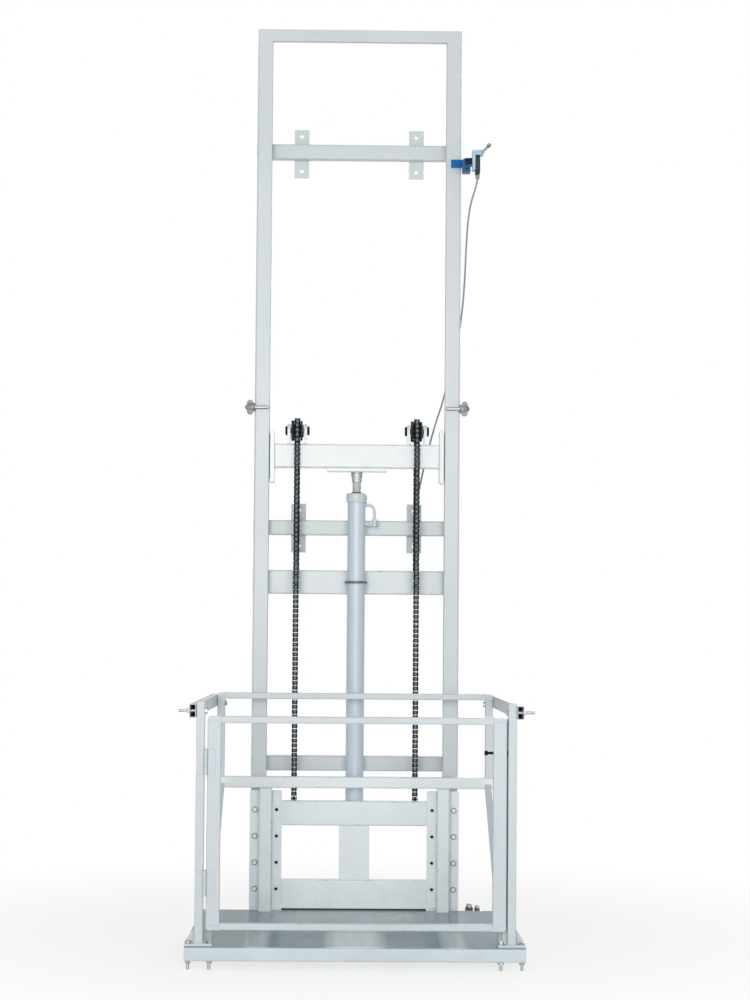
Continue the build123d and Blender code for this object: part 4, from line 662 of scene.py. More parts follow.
def grow(name, places, edges, tree, given, ways=()):
    """Runs a tree over points or lines, with the points' directions if given, and keeps a plain mesh."""
    mesh = bpy.data.meshes.new(name)
    mesh.from_pydata(places, edges, [])
    if ways:
        facing = mesh.attributes.new("facing", "FLOAT_VECTOR", "POINT")
        for item, way in zip(facing.data, ways):
            item.vector = way
    made = show(name, mesh)
    run = made.modifiers.new("grow", "NODES")
    run.node_group = tree
    for item in tree.interface.items_tree:
        if item.in_out == "INPUT" and item.name in given:
            run[item.identifier] = given[item.name]
    return settle(made)


def sharpen(made):
    """Smooth shading with sharp edges, and flat faces kept flat."""
    shape = bmesh.new()
    shape.from_mesh(made.data)
    bmesh.ops.remove_doubles(shape, verts=shape.verts, dist=MERGED_WITHIN)
    smooth_faces(shape)
    shape.to_mesh(made.data)
    shape.free()
    return weigh(made)


head_tree, heads, head = tree_inputs("fastener_heads", {
    "Geometry": "Geometry", "Sides": "Int", "Across": "Float", "Height": "Float", "Washer": "Float",
    "Washer thickness": "Float", "Seed": "Int", "Material": "Material"})


def raised(made, height):
    """Part of a head, moved up its axis."""
    rise = heads.add("ShaderNodeCombineXYZ", {"Z": height})
    return heads.add("GeometryNodeTransform", {"Geometry": made, "Translation": rise})


flat_half = head["Across"] * 0.5
corner_radius = flat_half / heads.math("COSINE", heads.math("DIVIDE", math.pi, head["Sides"]))
prism = heads.add("GeometryNodeMeshCylinder", {
    "Vertices": head["Sides"], "Radius": corner_radius, "Depth": head["Height"]}, out="Mesh")
dome = heads.add("GeometryNodeMeshCone", {
    "Vertices": 30, "Radius Top": flat_half * 0.93 - head["Height"] * 0.09,
    "Radius Bottom": flat_half * 0.93 + head["Height"] * 2.19, "Depth": head["Height"] * 1.3}, out="Mesh")
dome = raised(dome, head["Height"] * -0.75)
cut_head = heads.add("GeometryNodeMeshBoolean", {"Mesh 2": [prism, dome]}, {"operation": "INTERSECT"}, "Mesh")
cut_head = raised(cut_head, head["Height"] * 0.5 + head["Washer thickness"])
ring = heads.add("GeometryNodeMeshCylinder", {
    "Vertices": 28, "Radius": head["Washer"] * 0.5, "Depth": head["Washer thickness"]}, out="Mesh")
ring = raised(ring, head["Washer thickness"] * 0.5)
one_head = heads.add("GeometryNodeJoinGeometry", {"Geometry": [cut_head, ring]})
facing = heads.add("GeometryNodeInputNamedAttribute", {"Name": "facing"}, {"data_type": "FLOAT_VECTOR"})
facing = heads.add("FunctionNodeAlignRotationToVector", {"Vector": facing}, {"axis": "Z"})
spin = heads.add("FunctionNodeRandomValue", {2: 0.0, 3: math.pi / 3, "Seed": head["Seed"]}, out=1)
spin = heads.add("FunctionNodeAxisAngleToRotation", {"Axis": UP, "Angle": spin})
facing = heads.add("FunctionNodeRotateRotation", {"Rotation": facing, "Rotate By": spin},
                   {"rotation_space": "LOCAL"})
placed = heads.add("GeometryNodeInstanceOnPoints", {
    "Points": head["Geometry"], "Instance": one_head, "Rotation": facing})
close_tree(heads, placed, head["Material"])


def fasten(name, spots, across, height, finish, body, *nodes, washer=0.0, thick=0.5, sides=6, seed=1):
    """A head with its washer at every (place, direction) spot."""
    made = grow(name, [Vector(place) * MM for place, way in spots], [], head_tree, {
        "Sides": sides, "Across": across * MM, "Height": height * MM, "Washer": (washer or across * 0.9) * MM,
        "Washer thickness": thick * MM, "Seed": seed, "Material": finish.material},
        [way for place, way in spots])
    return hand_over(sharpen(made), name, body, nodes)


def on_both(way, *places):
    """Spots that face one way, at places on the right and their twins on the left."""
    return [((side * x, y, z), way) for side in SIDES for x, y, z in places]


dull_zinc = zinc_plate("dull_zinc", 0.16)
turns = [math.pi * step / STRAP_STEPS for step in range(STRAP_STEPS + 1)]
strap = [(STRAP_REACH, BAR_BACK - 2, CLAMP_Z)]
strap += [(STRAP_REACH * math.cos(t), RAM_Y - STRAP_REACH * math.sin(t), CLAMP_Z) for t in turns]
strap += [(-STRAP_REACH, BAR_BACK - 2, CLAMP_Z)]
shape = swept(new_shape(), strap, STRAP_ROD)
for x in (-STRAP_REACH, STRAP_REACH):
    threaded(shape, (x, BAR_BACK - 3, CLAMP_Z), (x, STRAP_TIP, CLAMP_Z), STRAP_ROD, STRAP_PITCH)
turns = [math.radians(SEAT_START - SEAT_SWING * step / SADDLE_STEPS) for step in range(SADDLE_STEPS + 1)]
seat = [(SADDLE_SEAT * math.cos(t), RAM_Y + SADDLE_SEAT * math.sin(t)) for t in turns]
draw_out(shape, seat + [(SADDLE_HALF, RAIL_BACK), (-SADDLE_HALF, RAIL_BACK)], "Z", *SADDLE, 1.0)
piece("cylinder_clamp", shape, dull_zinc, "mast")
strap_seats = on_both(BACK, (STRAP_REACH, BAR_BACK, CLAMP_Z))
fasten("clamp_nuts", strap_seats, 17, 8, zinc, "mast", washer=21, thick=1.6)


# Leak return pipe. A 10 mm pipe from under the gland, bent down and back into the barrel through
# a hexagon union, painted with the frame.
RETURN_PIPE, RETURN_X, RETURN_TOP, RETURN_LOW, RETURN_BEND = 10.0, 60.0, 1404.0, 1340.0, 24.0
RETURN_START, SOCKET_X, UNION_X = 27.0, 29.0, 44.0


def bent(corners, radius, steps=8):
    """A line through corners, each turned at a bend radius."""
    points = [Vector(corners[0])]
    for before, corner, after in zip(corners, corners[1:], corners[2:]):
        corner = Vector(corner)
        back, on = (Vector(before) - corner).normalized(), (Vector(after) - corner).normalized()
        half = back.angle(on) / 2
        middle = corner + (back + on).normalized() * radius / math.sin(half)
        first, last = corner + back * radius / math.tan(half), corner + on * radius / math.tan(half)
        for step in range(steps + 1):
            swung = (first - middle).normalized().slerp((last - middle).normalized(), step / steps)
            points.append(middle + swung * radius)
    return points + [Vector(corners[-1])]


turning = ((RETURN_START, RETURN_TOP), (RETURN_X, RETURN_TOP), (RETURN_X, RETURN_LOW))
route = [(x, RAM_Y, z) for x, z in turning]
shape = swept(new_shape(), bent(route, RETURN_BEND), RETURN_PIPE, 18)
lathe(shape, [(6.2, 0), (7.4, 0.8), (7.4, 5), (6, 6)], (SOCKET_X, RAM_Y, RETURN_TOP), RIGHT, 24)
lathe(shape, [(5.5, 0), (6.6, 0.8), (6.6, 24), (5.8, 25)], (SOCKET_X, RAM_Y, RETURN_LOW), RIGHT, 24)
lathe(shape, [(8, 0), (9, 1), (9, 14), (8, 15)], (RETURN_X, RAM_Y, RETURN_LOW - 8), UP, 24)
piece("return_pipe", shape, frame_paint, "mast")
unions = [((UNION_X, RAM_Y, RETURN_LOW), RIGHT), ((RETURN_X, RAM_Y, RETURN_LOW + 7), UP)]
fasten("return_union_nuts", unions, 17, 9, frame_paint, "mast", seed=4)


# Supply line. A 15 mm steel pipe from the ram's foot along the base plate to a block outside the right rail,
# with a hexagon union and a smaller cap on the block for the pump's hose.
SUPPLY_PIPE, SUPPLY_Z, SUPPLY_Y, SUPPLY_BEND = 15.0, 34.0, 52.0, 30.0
SUPPLY_ROUTE = ((37, RAM_Y), (98, RAM_Y), (98, SUPPLY_Y), (374, SUPPLY_Y))
SUPPLY_BLOCK, BLOCK_TOP = ((373.0, 430.0), (37.0, 67.0), (10.0, 49.0)), 49.0
UNION_CAP, SMALL_CAP = (388, 11.0, 25.0), (415, 8.2, 19.0)
CAP_PROFILE = ((1, 0), (1, 0.55), (0.93, 0.74), (0.72, 0.89), (0.38, 0.98), (0.1, 1))


def boxed(shape, x, y, z, width=1.0):
    """A block with all its edges eased."""
    (x0, x1), (y0, y1), (z0, z1) = sorted(x), sorted(y), sorted(z)
    made = bmesh.ops.create_cube(shape, size=1.0)["verts"]
    for vert in made:
        corner = [low if unit < 0 else high
                  for unit, low, high in zip(vert.co, (x0, y0, z0), (x1, y1, z1))]
        vert.co = Vector(corner) * MM
    ease(shape, list({edge for vert in made for edge in vert.link_edges}), width)
    return shape


shape = swept(new_shape(), bent([(x, y, SUPPLY_Z) for x, y in SUPPLY_ROUTE], SUPPLY_BEND), SUPPLY_PIPE, 20)
piece("supply_line", boxed(shape, *SUPPLY_BLOCK, 1.5), zinc, "mast")
shape = new_shape()
for x, radius, height in (UNION_CAP, SMALL_CAP):
    profile = [(radius * across, height * up) for across, up in CAP_PROFILE]
    lathe(shape, profile, (x, SUPPLY_Y, BLOCK_TOP), steps=28)
piece("supply_caps", shape, zinc, "mast")
unions = [((38, RAM_Y, SUPPLY_Z), RIGHT), ((UNION_CAP[0], SUPPLY_Y, BLOCK_TOP), UP)]
fasten("supply_unions", unions, 24, 11, dull_zinc, "mast", seed=3)
fasten("supply_cap_nut", [((SMALL_CAP[0], SUPPLY_Y, BLOCK_TOP), UP)], 18, 8, dull_zinc, "mast", seed=5)


# Ram, moving parts. A 30 mm hard-chromed rod with its piston inside the barrel, and a turned steel socket
# welded under the yoke's thrust plate that the rod stands in.
CHROME, OILED_CHROME = (0.50, 0.515, 0.53), (0.24, 0.24, 0.235)
ROD_PROFILE = [(24, 380), (24.6, 381), (24.6, 424), (24, 425), (15, 425), (15, 1514)]
SOCKET_PROFILE = [(15.1, 1480), (16.2, 1480), (17, 1480.8), (17, 1487), (16.2, 1487.8), (16.2, 1489),
                  (17, 1489.8), (17, 1496.4), (18.2, 1497), (19, 1498), (19, 1514), (15.1, 1514)]


def hard_chrome():
    """Polished chrome with hair-fine marks along the stroke and a trace of oil."""
    metal = Finish("hard_chrome", "rod_chrome")
    hair, oil = metal.noise(260.0, 3.0, (6, 6, 0.12)), metal.noise(14.0, 4.0)
    tone = metal.layers(CHROME, (oil.over(0.45, 0.75) * 0.5, OILED_CHROME))
    rough = 0.06 + hair.over(0.5, 0.8) * 0.14 + oil * 0.05
    return metal.surface(tone, rough, hair, 0.00005, 0.15, Metallic=1.0)


def turned_steel():
    """Bare steel with the tool's rings round it and light brown where oil has aged."""
    metal = Finish("turned_steel", "socket_steel")
    sockets = {"Vector": metal.place, "Scale": 620.0, "Distortion": 0.6, "Detail": 1.0}
    rings = metal.add("ShaderNodeTexWave", sockets, {"bands_direction": "Z"}, "Fac")
    age = metal.noise(48.0, 5.0)
    tone = metal.layers((0.42, 0.43, 0.44), (rings, (0.52, 0.53, 0.54)),
                        (age.over(0.52, 0.72) * 0.5, (0.34, 0.31, 0.27)))
    return metal.surface(tone, 0.42 + age * 0.2, rings, 0.0001, 0.25, Metallic=1.0)


turned("piston_rod", ROD_PROFILE, hard_chrome(), "yoke")
turned("rod_socket", SOCKET_PROFILE, turned_steel(), "yoke", closed=True, marked=(1, 3, 5, 8))


# Yoke. A rectangular tube between two rounded shoes, with a thrust plate below for the ram and four ears
# above for the sprockets, welded and coated nearly white in a lighter copy of the frame coat, its extra
# lightness a painted highlight; nylon guides on the shoes run in the rails, their near-black a painted shade
# for the gap beside the shoes.
YOKE_HALF, YOKE_DEPTH, YOKE = 275.0, (-41.671, -1.671), (1526.0, 1606.0)
SHOE, SHOE_RELIEF, SHOE_OUTER = (1476.0, 1656.0), 290.8, 292.0
SHOE_FRONT_DEPTH, SHOE_BACK_DEPTH = (-41.671, -15.0), (-16.5, 20.329)
THRUST_HALF, THRUST_DEPTH, THRUST = 100.0, (-51.671, 8.329), (1514.0, 1526.0)


def moulded_nylon():
    """Nylon, nearly black, with faint sliding marks up and down and rail dust in faint pale patches; the
    near-black is painted shade for the gap between the shoes and the rails.
    """
    skin = Finish("black_nylon", None)
    slide, cloud = skin.noise(160.0, 3.0, (5, 5, 0.2)), skin.noise(30.0, 3.0)
    tone = skin.layers((0.020, 0.021, 0.022), (cloud, (0.034, 0.035, 0.036)),
                       (slide.over(0.52, 0.72) * 0.35, (0.075, 0.076, 0.077)))
    return skin.surface(tone, 0.42 + slide * 0.2, slide, 0.0002, 0.2)


# The yoke coat is a lighter copy of the frame coat: its extra lightness is a painted highlight.
yoke_paint_lit = powder_coat("yoke_powder_coat", (0.800, 0.835, 0.845), (0.755, 0.795, 0.806), 0.22, 0.25)
shape = tube(new_shape(), about(0, YOKE_HALF), YOKE_DEPTH, YOKE, BAR_WALL, "X", 6.0)
piece("yoke_beam", shape, yoke_paint_lit, "yoke")
shape = bar(new_shape(), (YOKE_HALF, SHOE_RELIEF), SHOE_FRONT_DEPTH, SHOE, "Y", 7.7, 1.5)
bar(shape, (YOKE_HALF, SHOE_OUTER), SHOE_BACK_DEPTH, SHOE, "Y", 8.3, 1.5)
piece("yoke_shoes", twin(shape), yoke_paint_lit, "yoke")
shape = boxed(new_shape(), about(0, THRUST_HALF), THRUST_DEPTH, THRUST, 1.5)
piece("thrust_plate", shape, yoke_paint_lit, "yoke")
eased_node("sprocket_ears", 1.0, yoke_paint_lit, "yoke")
# The guides' near-black is painted shade: it darkens the gap between the shoes and the rails.
nylon = moulded_nylon()
for node in ("yoke_guides", "carriage_guides"):
    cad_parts[node].material_slots[0].material = nylon.material


# Sprocket axles. Pins of 16 mm through the ears of each sprocket, in blackened steel,
# with a hexagon head and a washer on both ends.
CHAIN_X, AXLE_Z, AXLE, AXLE_HEAD, EAR_OUTER = 200.0, 1651.0, 16.0, 28.0, 33.0


def black_oxide(name, tone=0.007):
    """Blackened steel: blue-black, oily, with bare metal where corners have rubbed."""
    metal = Finish(name, "black_steel")
    film = metal.noise(70.0, 4.0)
    bare = metal.edge() * metal.noise(130.0, 4.0).over(0.48, 0.62)
    colour = metal.layers((tone, tone, tone * 1.15),
                          (film.over(0.35, 0.7), (tone * 1.8, tone * 1.8, tone * 1.9)),
                          (bare * 0.4, (0.22, 0.22, 0.23)))
    return metal.surface(colour, 0.40 + film * 0.22, metal.noise(800.0, 2.0), 0.0001, 0.25,
                         Metallic=0.1, Specular_IOR_Level=0.08)


black_steel = black_oxide("black_oxide")
shape = new_shape()
for side in SIDES:
    low, high = about(side * CHAIN_X, EAR_OUTER)
    round_bar(shape, (low, RAM_Y, AXLE_Z), (high, RAM_Y, AXLE_Z), AXLE)
piece("sprocket_axles", shape, black_steel, "yoke")
axle_ends = [((side * CHAIN_X + way * EAR_OUTER, RAM_Y, AXLE_Z), (way, 0, 0))
             for side in SIDES for way in SIDES]
fasten("axle_heads", axle_ends, AXLE_HEAD, 6.2, black_steel, "yoke", washer=31, thick=1.4, seed=2)


# Sprockets. Fourteen-tooth wheels cut from one blackened blank, with a lower idle row of teeth to each side
# of the row that the chain runs on; its flanks are worn bright, and the hubs' ends are bare turned steel.
PITCH, TEETH, ROLLER = 15.875, 14, 10.16
PITCH_RADIUS = PITCH / (2 * math.sin(math.pi / TEETH))
TIP_RADIUS = PITCH / 2 * (0.6 + 1 / math.tan(math.pi / TEETH))
SEAT_STEPS, SEAT_PLAY, TIP_HALF = 6, 0.3, 1.6
WHEEL_HUB, WHEEL_BORE, HUB_HALF = 22.0, 8.1, 21.0
WHEEL_ROWS = ((-20.4, -10.6, 5.0), (-4.4, 4.4, 0.0), (10.6, 17.4, 6.0))
TIP_DROP, TIP_SLOPE = 1.4, 1.6
WORN_FLANK, BARE_HUB = (11,), (1, 2, 20, 21)


def tooth_line(inset):
    """The wheel's outline as (radius, turn) points, a gap at each roller, its tips lowered by inset."""
    seat = ROLLER / 2 + SEAT_PLAY
    tip_half = math.pi / TEETH - math.asin(TIP_HALF / TIP_RADIUS)
    line = []
    for tooth in range(TEETH):
        turn = 2 * math.pi * tooth / TEETH
        line.append((TIP_RADIUS - inset, turn - tip_half))
        for step in range(SEAT_STEPS + 1):
            swing = math.radians(60 * (2 * step / SEAT_STEPS - 1))
            across, reach = seat * math.sin(swing), PITCH_RADIUS - seat * math.cos(swing)
            line.append((math.hypot(reach, across) - 0.25 * inset, turn + math.atan2(across, reach)))
        line.append((TIP_RADIUS - inset, turn + tip_half))
    return line


def wheel_ring(middle, radius, offset):
    """A ring of the wheel: its outline lowered by a negative radius, or a circle with as many points."""
    points = []
    for reach, turn in tooth_line(max(-radius, 0)):
        reach = reach if radius <= 0 else radius
        place = (middle + offset, RAM_Y + reach * math.cos(turn), AXLE_Z + reach * math.sin(turn))
        points.append(Vector(place) * MM)
    return points


def wheel_steel():
    """Blackened wheel with bright flanks, where the rollers run, and half-bright hub ends."""
    metal = Finish("sprocket_black", "sprocket_steel")
    film, fine = metal.noise(80.0, 4.0), metal.noise(300.0, 3.0)
    flank = metal.edge().over(0.7, 0.9)
    bare = metal.edge().over(0.2, 0.4) - flank
    lightened = flank * fine.over(0.44, 0.60)
    tone = metal.layers((0.011, 0.016, 0.020), (film, (0.025, 0.034, 0.040)),
                        (lightened * 0.7, (0.26, 0.26, 0.27)), (bare * film.over(0.2, 0.5), (0.30, 0.30, 0.31)))
    return metal.surface(tone, 0.36 + film * 0.2, fine, 0.0001, 0.3, Metallic=0.6)


def wheel_mark(row, step):
    return 1.0 if row in WORN_FLANK else 0.5 if row in BARE_HUB else 0.0


wheel_finish = wheel_steel()
section = [(WHEEL_BORE, -HUB_HALF), (WHEEL_HUB - 1, -HUB_HALF), (WHEEL_HUB, 1 - HUB_HALF)]
for low, high, drop in WHEEL_ROWS:
    section += [(WHEEL_HUB, low), (-drop - TIP_DROP, low), (-drop, low + TIP_SLOPE),
                (-drop, high - TIP_SLOPE), (-drop - TIP_DROP, high), (WHEEL_HUB, high)]
section += [(WHEEL_HUB, HUB_HALF - 1), (WHEEL_HUB - 1, HUB_HALF), (WHEEL_BORE, HUB_HALF)]
for name, side in (("sprocket_left", -1), ("sprocket_right", 1)):
    shape = new_shape()
    loft(shape, [wheel_ring(side * CHAIN_X, *station) for station in section], marked=wheel_mark)
    piece(name, shape, wheel_finish, name)


# Chains. Single roller chain of 15.875 mm pitch, outer links of two waisted plates with riveted pins and
# inner links with rollers, oiled black. One end is pinned to the cylinder beam; the chain goes up, over the
# sprocket and down to the carriage, and runs over the sprocket as the ram lifts.
LINK_INNER, LINK_OUTER, LINK_PLATE, LINK_HALF, LINK_WAIST = 4.9, 7.0, 2.0, 7.4, 0.80
LINK_END = (-105, -63, -21, 21, 63, 105)
CHAIN_PIN, CHAIN_BUSH, PIN_REACH = 5.09, 14.2, 9.8
REAR_LINKS, WRAP_LINKS, FRONT_LINKS, LIFT_LINKS = 29, 7, 77, 57
REAR_Y, FRONT_Y = RAM_Y + PITCH_RADIUS, RAM_Y - PITCH_RADIUS
FAR, HALVINGS = 10000.0, 60


def oiled_chain():
    """Black chain steel under a film of oil, with dull grey where plates rub, and lighter rollers: partly the
    polish of running, partly a painted highlight.
    """
    metal = Finish("oiled_chain", "chain_steel")
    oil, rub, roller_polish_and_highlight = metal.noise(55.0, 4.0), metal.noise(420.0, 3.0), metal.edge()
    tone = metal.layers((0.004, 0.007, 0.010), (oil, (0.010, 0.016, 0.021)),
                        (rub.over(0.62, 0.74) * 0.3, (0.085, 0.115, 0.130)),
                        (roller_polish_and_highlight * 0.8, (0.170, 0.215, 0.238)))
    rough = 0.34 + oil * 0.2 - roller_polish_and_highlight * 0.14
    return metal.surface(tone, rough, rub, 0.0001, 0.3, Metallic=0.5, Specular_IOR_Level=0.15)


def link_plate(shape, x0, x1):
    """One waisted plate, drawn out along X between two places."""
    ends = [math.radians(angle) for angle in LINK_END]
    outline = []
    for way in (1, -1):
        outline += [(way * (PITCH / 2 + LINK_HALF * math.cos(t)), way * LINK_HALF * math.sin(t))
                    for t in ends]
        outline.append((0, way * LINK_HALF * LINK_WAIST))
    draw_out(shape, outline, "X", x0, x1)


def stub(shape, y, radius, reach, steps, bright):
    """A pin or a roller of a link; a roller is marked for a lighter tone, partly polish from running and
    partly a painted highlight.
    """
    outline = [(y + radius * c, radius * s) for c, s in circle(steps)]
    rows = [(outline, -reach), (outline, reach)]
    stack(shape, "X", rows, around=False, ends=True, marked=lambda row, step: bright)


def link_pattern(name, offset, *pin):
    """One link lying along Y at the origin, as the shape that a strand repeats."""
    shape = new_shape()
    link_plate(shape, offset, offset + LINK_PLATE)
    link_plate(shape, -offset - LINK_PLATE, -offset)
    for y in (-PITCH / 2, PITCH / 2):
        stub(shape, y, *pin)
    smooth_faces(shape)
    return solid(name, shape)


outer_link = link_pattern("outer_link", LINK_OUTER, CHAIN_PIN / 2, PIN_REACH, 8, 0)
inner_link = link_pattern("inner_link", LINK_INNER, CHAIN_BUSH / 2, LINK_INNER, 12, 1)

chain_tree, links, link = tree_inputs("chain_links", {
    "Geometry": "Geometry", "Outer link": "Object", "Inner link": "Object", "First link": "Int",
    "Thickness": "Float", "Material": "Material"})
ends = links.add("GeometryNodeInputMeshEdgeVertices").socket.node
start, end = (Value(links, ends.outputs[label]) for label in ("Position 1", "Position 2"))
way = links.add("ShaderNodeVectorMath", {0: end, 1: start}, {"operation": "SUBTRACT"})
inner = links.math("MODULO", links.add("GeometryNodeInputIndex") + link["First link"], 2.0)
kept = link["Geometry"]
for label, kind, value in (("way", "FLOAT_VECTOR", way), ("inner", "FLOAT", inner)):
    kept = links.add("GeometryNodeStoreNamedAttribute", {"Geometry": kept, "Name": label, "Value": value},
                     {"data_type": kind, "domain": "EDGE"})
spots = links.add("GeometryNodeMeshToPoints", {"Mesh": kept}, {"mode": "EDGES"})
way = links.add("GeometryNodeInputNamedAttribute", {"Name": "way"}, {"data_type": "FLOAT_VECTOR"})
inner = links.add("GeometryNodeInputNamedAttribute", {"Name": "inner"}, {"data_type": "FLOAT"})
turn = links.add("FunctionNodeAlignRotationToVector", {"Vector": way}, {"axis": "Y", "pivot_axis": "X"})
size = links.add("ShaderNodeCombineXYZ", {axis: link["Thickness"] for axis in "XYZ"})
strands = []
for kind, chosen in (("Outer link", 1 - inner), ("Inner link", inner)):
    pattern = links.add("GeometryNodeObjectInfo", {"Object": link[kind]}, out="Geometry")
    strands.append(links.add("GeometryNodeInstanceOnPoints", {
        "Points": spots, "Selection": chosen, "Instance": pattern, "Rotation": turn, "Scale": size}))
close_tree(links, links.add("GeometryNodeJoinGeometry", {"Geometry": strands}), link["Material"])
chain_finish = oiled_chain()


def pin_place(index):
    """A pin's (Y, Z), counted from the anchor on the beam."""
    over = index - REAR_LINKS
    if over <= 0:
        return REAR_Y, AXLE_Z + over * PITCH
    if over >= WRAP_LINKS:
        return FRONT_Y, AXLE_Z - (over - WRAP_LINKS) * PITCH
    turn = math.pi * over / WRAP_LINKS
    return RAM_Y + PITCH_RADIUS * math.cos(turn), AXLE_Z + PITCH_RADIUS * math.sin(turn)


def strand(name, x, first, last, thickness=1.0):
    """The links between two pins of a chain as one plain mesh."""
    pins = [Vector((x, *pin_place(index))) * MM for index in range(first, last + 1)]
    made = grow(name, pins, [(number, number + 1) for number in range(last - first)], chain_tree, {
        "Outer link": outer_link, "Inner link": inner_link, "First link": first, "Thickness": thickness,
        "Material": chain_finish.material})
    return made


def follow(made, still, moving, share):
    """Lets a strand move by a fixed share of the way between two bodies."""
    if share in (0, 1):
        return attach(made, moving if share else still)
    low, high = 0.0, 1.0
    for halving in range(HALVINGS):
        middle = (low + high) / 2
        low, high = (middle, high) if middle * middle * (3 - 2 * middle) < share else (low, middle)
    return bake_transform(made, still, moving, start=(-low * FAR, 0, 0), end=((1 - low) * FAR, 0, 0))


# As the yoke rises, links come over to the rear strand. They wait behind the links of the resting strand,
# a hair thinner, and move up by whole links; the front strand folds into itself in the same way.
REAR_SHARES = ((0, 1.0), (28, 0.995), (LIFT_LINKS, 0.990))
FRONT_CUTS = ((0, 18, 0), (18, 36, 18), (36, 54, 36), (54, 56, 54), (56, 75, 56),
              (75, FRONT_LINKS, LIFT_LINKS))
FRONT_THINNER = 0.004
front_first = REAR_LINKS + WRAP_LINKS
for name, side in (("left", -1), ("right", 1)):
    x = side * CHAIN_X
    for number, (moved, thickness) in enumerate(REAR_SHARES):
        made = strand(f"chain_rear_{name}_{number}", x, 0, REAR_LINKS, thickness)
        follow(made, "mast", "yoke", moved / LIFT_LINKS)
        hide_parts(f"chain_rear_{name}")
    made = strand(f"chain_wrap_{name}", x, REAR_LINKS, front_first)
    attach(made, "yoke")
    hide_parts(f"chain_over_{name}")
    for number, (first, last, moved) in enumerate(FRONT_CUTS):
        thickness = 1.0 - FRONT_THINNER * number
        made = strand(f"chain_front_{name}_{number}", x, front_first + first, front_first + last, thickness)
        follow(made, "yoke", "platform", moved / LIFT_LINKS)
        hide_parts(f"chain_front_{name}")
for pattern in (outer_link, inner_link):
    bpy.data.objects.remove(pattern)


# Chain lugs. On the beam, blocks with a tongue for the chain's end link, each held by two black bolts;
# on the back of the carriage, plain tongues welded on.
LUG_HALF, LUG_DEPTH, LUG = 11.0, (6.5, 25.0), (1115.5, 1177.5)
LUG_BOLTS = (1129.5, 1163.5)
TONGUE_HALF, TONGUE_DEPTH, TONGUE = 4.6, (6.5, 21.5), (1175.5, 1198.1)
FRONT_LUG_DEPTH, FRONT_LUG = (-69.342, -48.342), (384.1, 436.1)
FRONT = (0, -1, 0)
tongue_span = about(CHAIN_X, TONGUE_HALF)
shape = boxed(new_shape(), about(CHAIN_X, LUG_HALF), LUG_DEPTH, LUG, 1.2)
bar(shape, tongue_span, TONGUE_DEPTH, TONGUE, "X", 6.0, 0.6)
piece("rear_chain_lugs", twin(shape), frame_paint, "mast")
lug_spots = on_both(FRONT, *((CHAIN_X, LUG_DEPTH[0], z) for z in LUG_BOLTS))
fasten("rear_lug_bolts", lug_spots, 14, 6.4, black_steel, "mast", washer=17, seed=7)
shape = bar(new_shape(), tongue_span, FRONT_LUG_DEPTH, FRONT_LUG, "X", 6.0, 0.6)
piece("front_chain_lugs", twin(shape), black_steel, "platform")


# Carriage. Two rectangular tubes and a centre plate between upright tubes, with cheeks that reach back
# to the nylon guides inside the rails. The slide plates are bolted on in front.
CARRIAGE_DEPTH, CARRIAGE = (-109.342, -69.342), (88.0, 425.0)
CARRIAGE_BEAMS = ((345.0, 425.0), (88.0, 168.0))
UPRIGHT = (243.0, 343.0)
CENTRE_HALF, CENTRE_DEPTH, CENTRE = 50.0, (-109.342, -103.342), (168.0, 345.0)
CHEEK, CHEEK_DEPTH = (268.0, 276.0), (-69.342, 19.5)
# The carriage coat is a lighter copy of the frame coat: its extra lightness is painted light against the
# shade round the carriage.
carriage_paint_lit = powder_coat("carriage_powder_coat", (0.800, 0.855, 0.872), (0.755, 0.812, 0.830), 0.20)
shape = new_shape()
for beam in CARRIAGE_BEAMS:
    tube(shape, about(0, UPRIGHT[0]), CARRIAGE_DEPTH, beam, BAR_WALL, "X", BAR_BEND)
boxed(shape, about(0, CENTRE_HALF), CENTRE_DEPTH, CENTRE, 0.8)
piece("carriage_beams", shape, carriage_paint_lit, "platform")
shape = tube(new_shape(), UPRIGHT, CARRIAGE_DEPTH, CARRIAGE, BAR_WALL, "Z", BAR_BEND)
piece("carriage_sides", twin(boxed(shape, CHEEK, CHEEK_DEPTH, CARRIAGE, 1.0)), carriage_paint_lit, "platform")


# Slide plates and their bolts. An 8 mm plate on each upright with two rows of four bolts: small black screws
# along the inner edge, plated hexagon heads along the outer one.
PLATE_FRONT = -117.342
BOLT_ROWS, BOLT_INNER, BOLT_OUTER = (139.0, 225.0, 311.0, 397.0), 255.0, 326.0
eased_node("slide_plates", 1.2, carriage_paint_lit, "platform")
inner_row, outer_row = (on_both(FRONT, *((x, PLATE_FRONT, z) for z in BOLT_ROWS))
                        for x in (BOLT_INNER, BOLT_OUTER))
fasten("carriage_washers", outer_row, 19, 1.2, dull_zinc, "platform", sides=24)
fasten("carriage_bolts", outer_row, 13, 6, zinc, "platform", thick=1.6)
fasten("carriage_screws", inner_row, 9, 2.5, black_steel, "platform", sides=24, seed=6)


# Back frame. Square posts on the slide plates carry the middle rail; thinner legs on its ends carry
# the top rail behind the load. All square tube, mitred or butted and welded.
POST, POST_DEPTH, POST_SPAN, POST_BEND = (270.5, 310.5), (-157.342, -117.342), (70.0, 471.0), 4.5
MID_RAIL, MID_HALF = (471.0, 507.0), 451.5
LEG, LEG_DEPTH, LEG_FOOT = (426.5, 451.5), (-149.842, -124.842), 507.0
GUARD_DEPTH, GUARD = (-147.342, -127.342), (760.0, 780.0)
THIN_WALL, THIN_BEND = 2.0, 3.0
CORNER_LAP, CORNER_EDGE, CORNER_BEND, CORNER_EASE = 0.5, 0.5, 9.0, 2.0
shape = twin(tube(new_shape(), POST, POST_DEPTH, POST_SPAN, BAR_WALL, "Z", POST_BEND))
tube(shape, about(0, MID_HALF), POST_DEPTH, MID_RAIL, BAR_WALL, "X", POST_BEND)
piece("back_frame", shape, carriage_paint_lit, "platform")
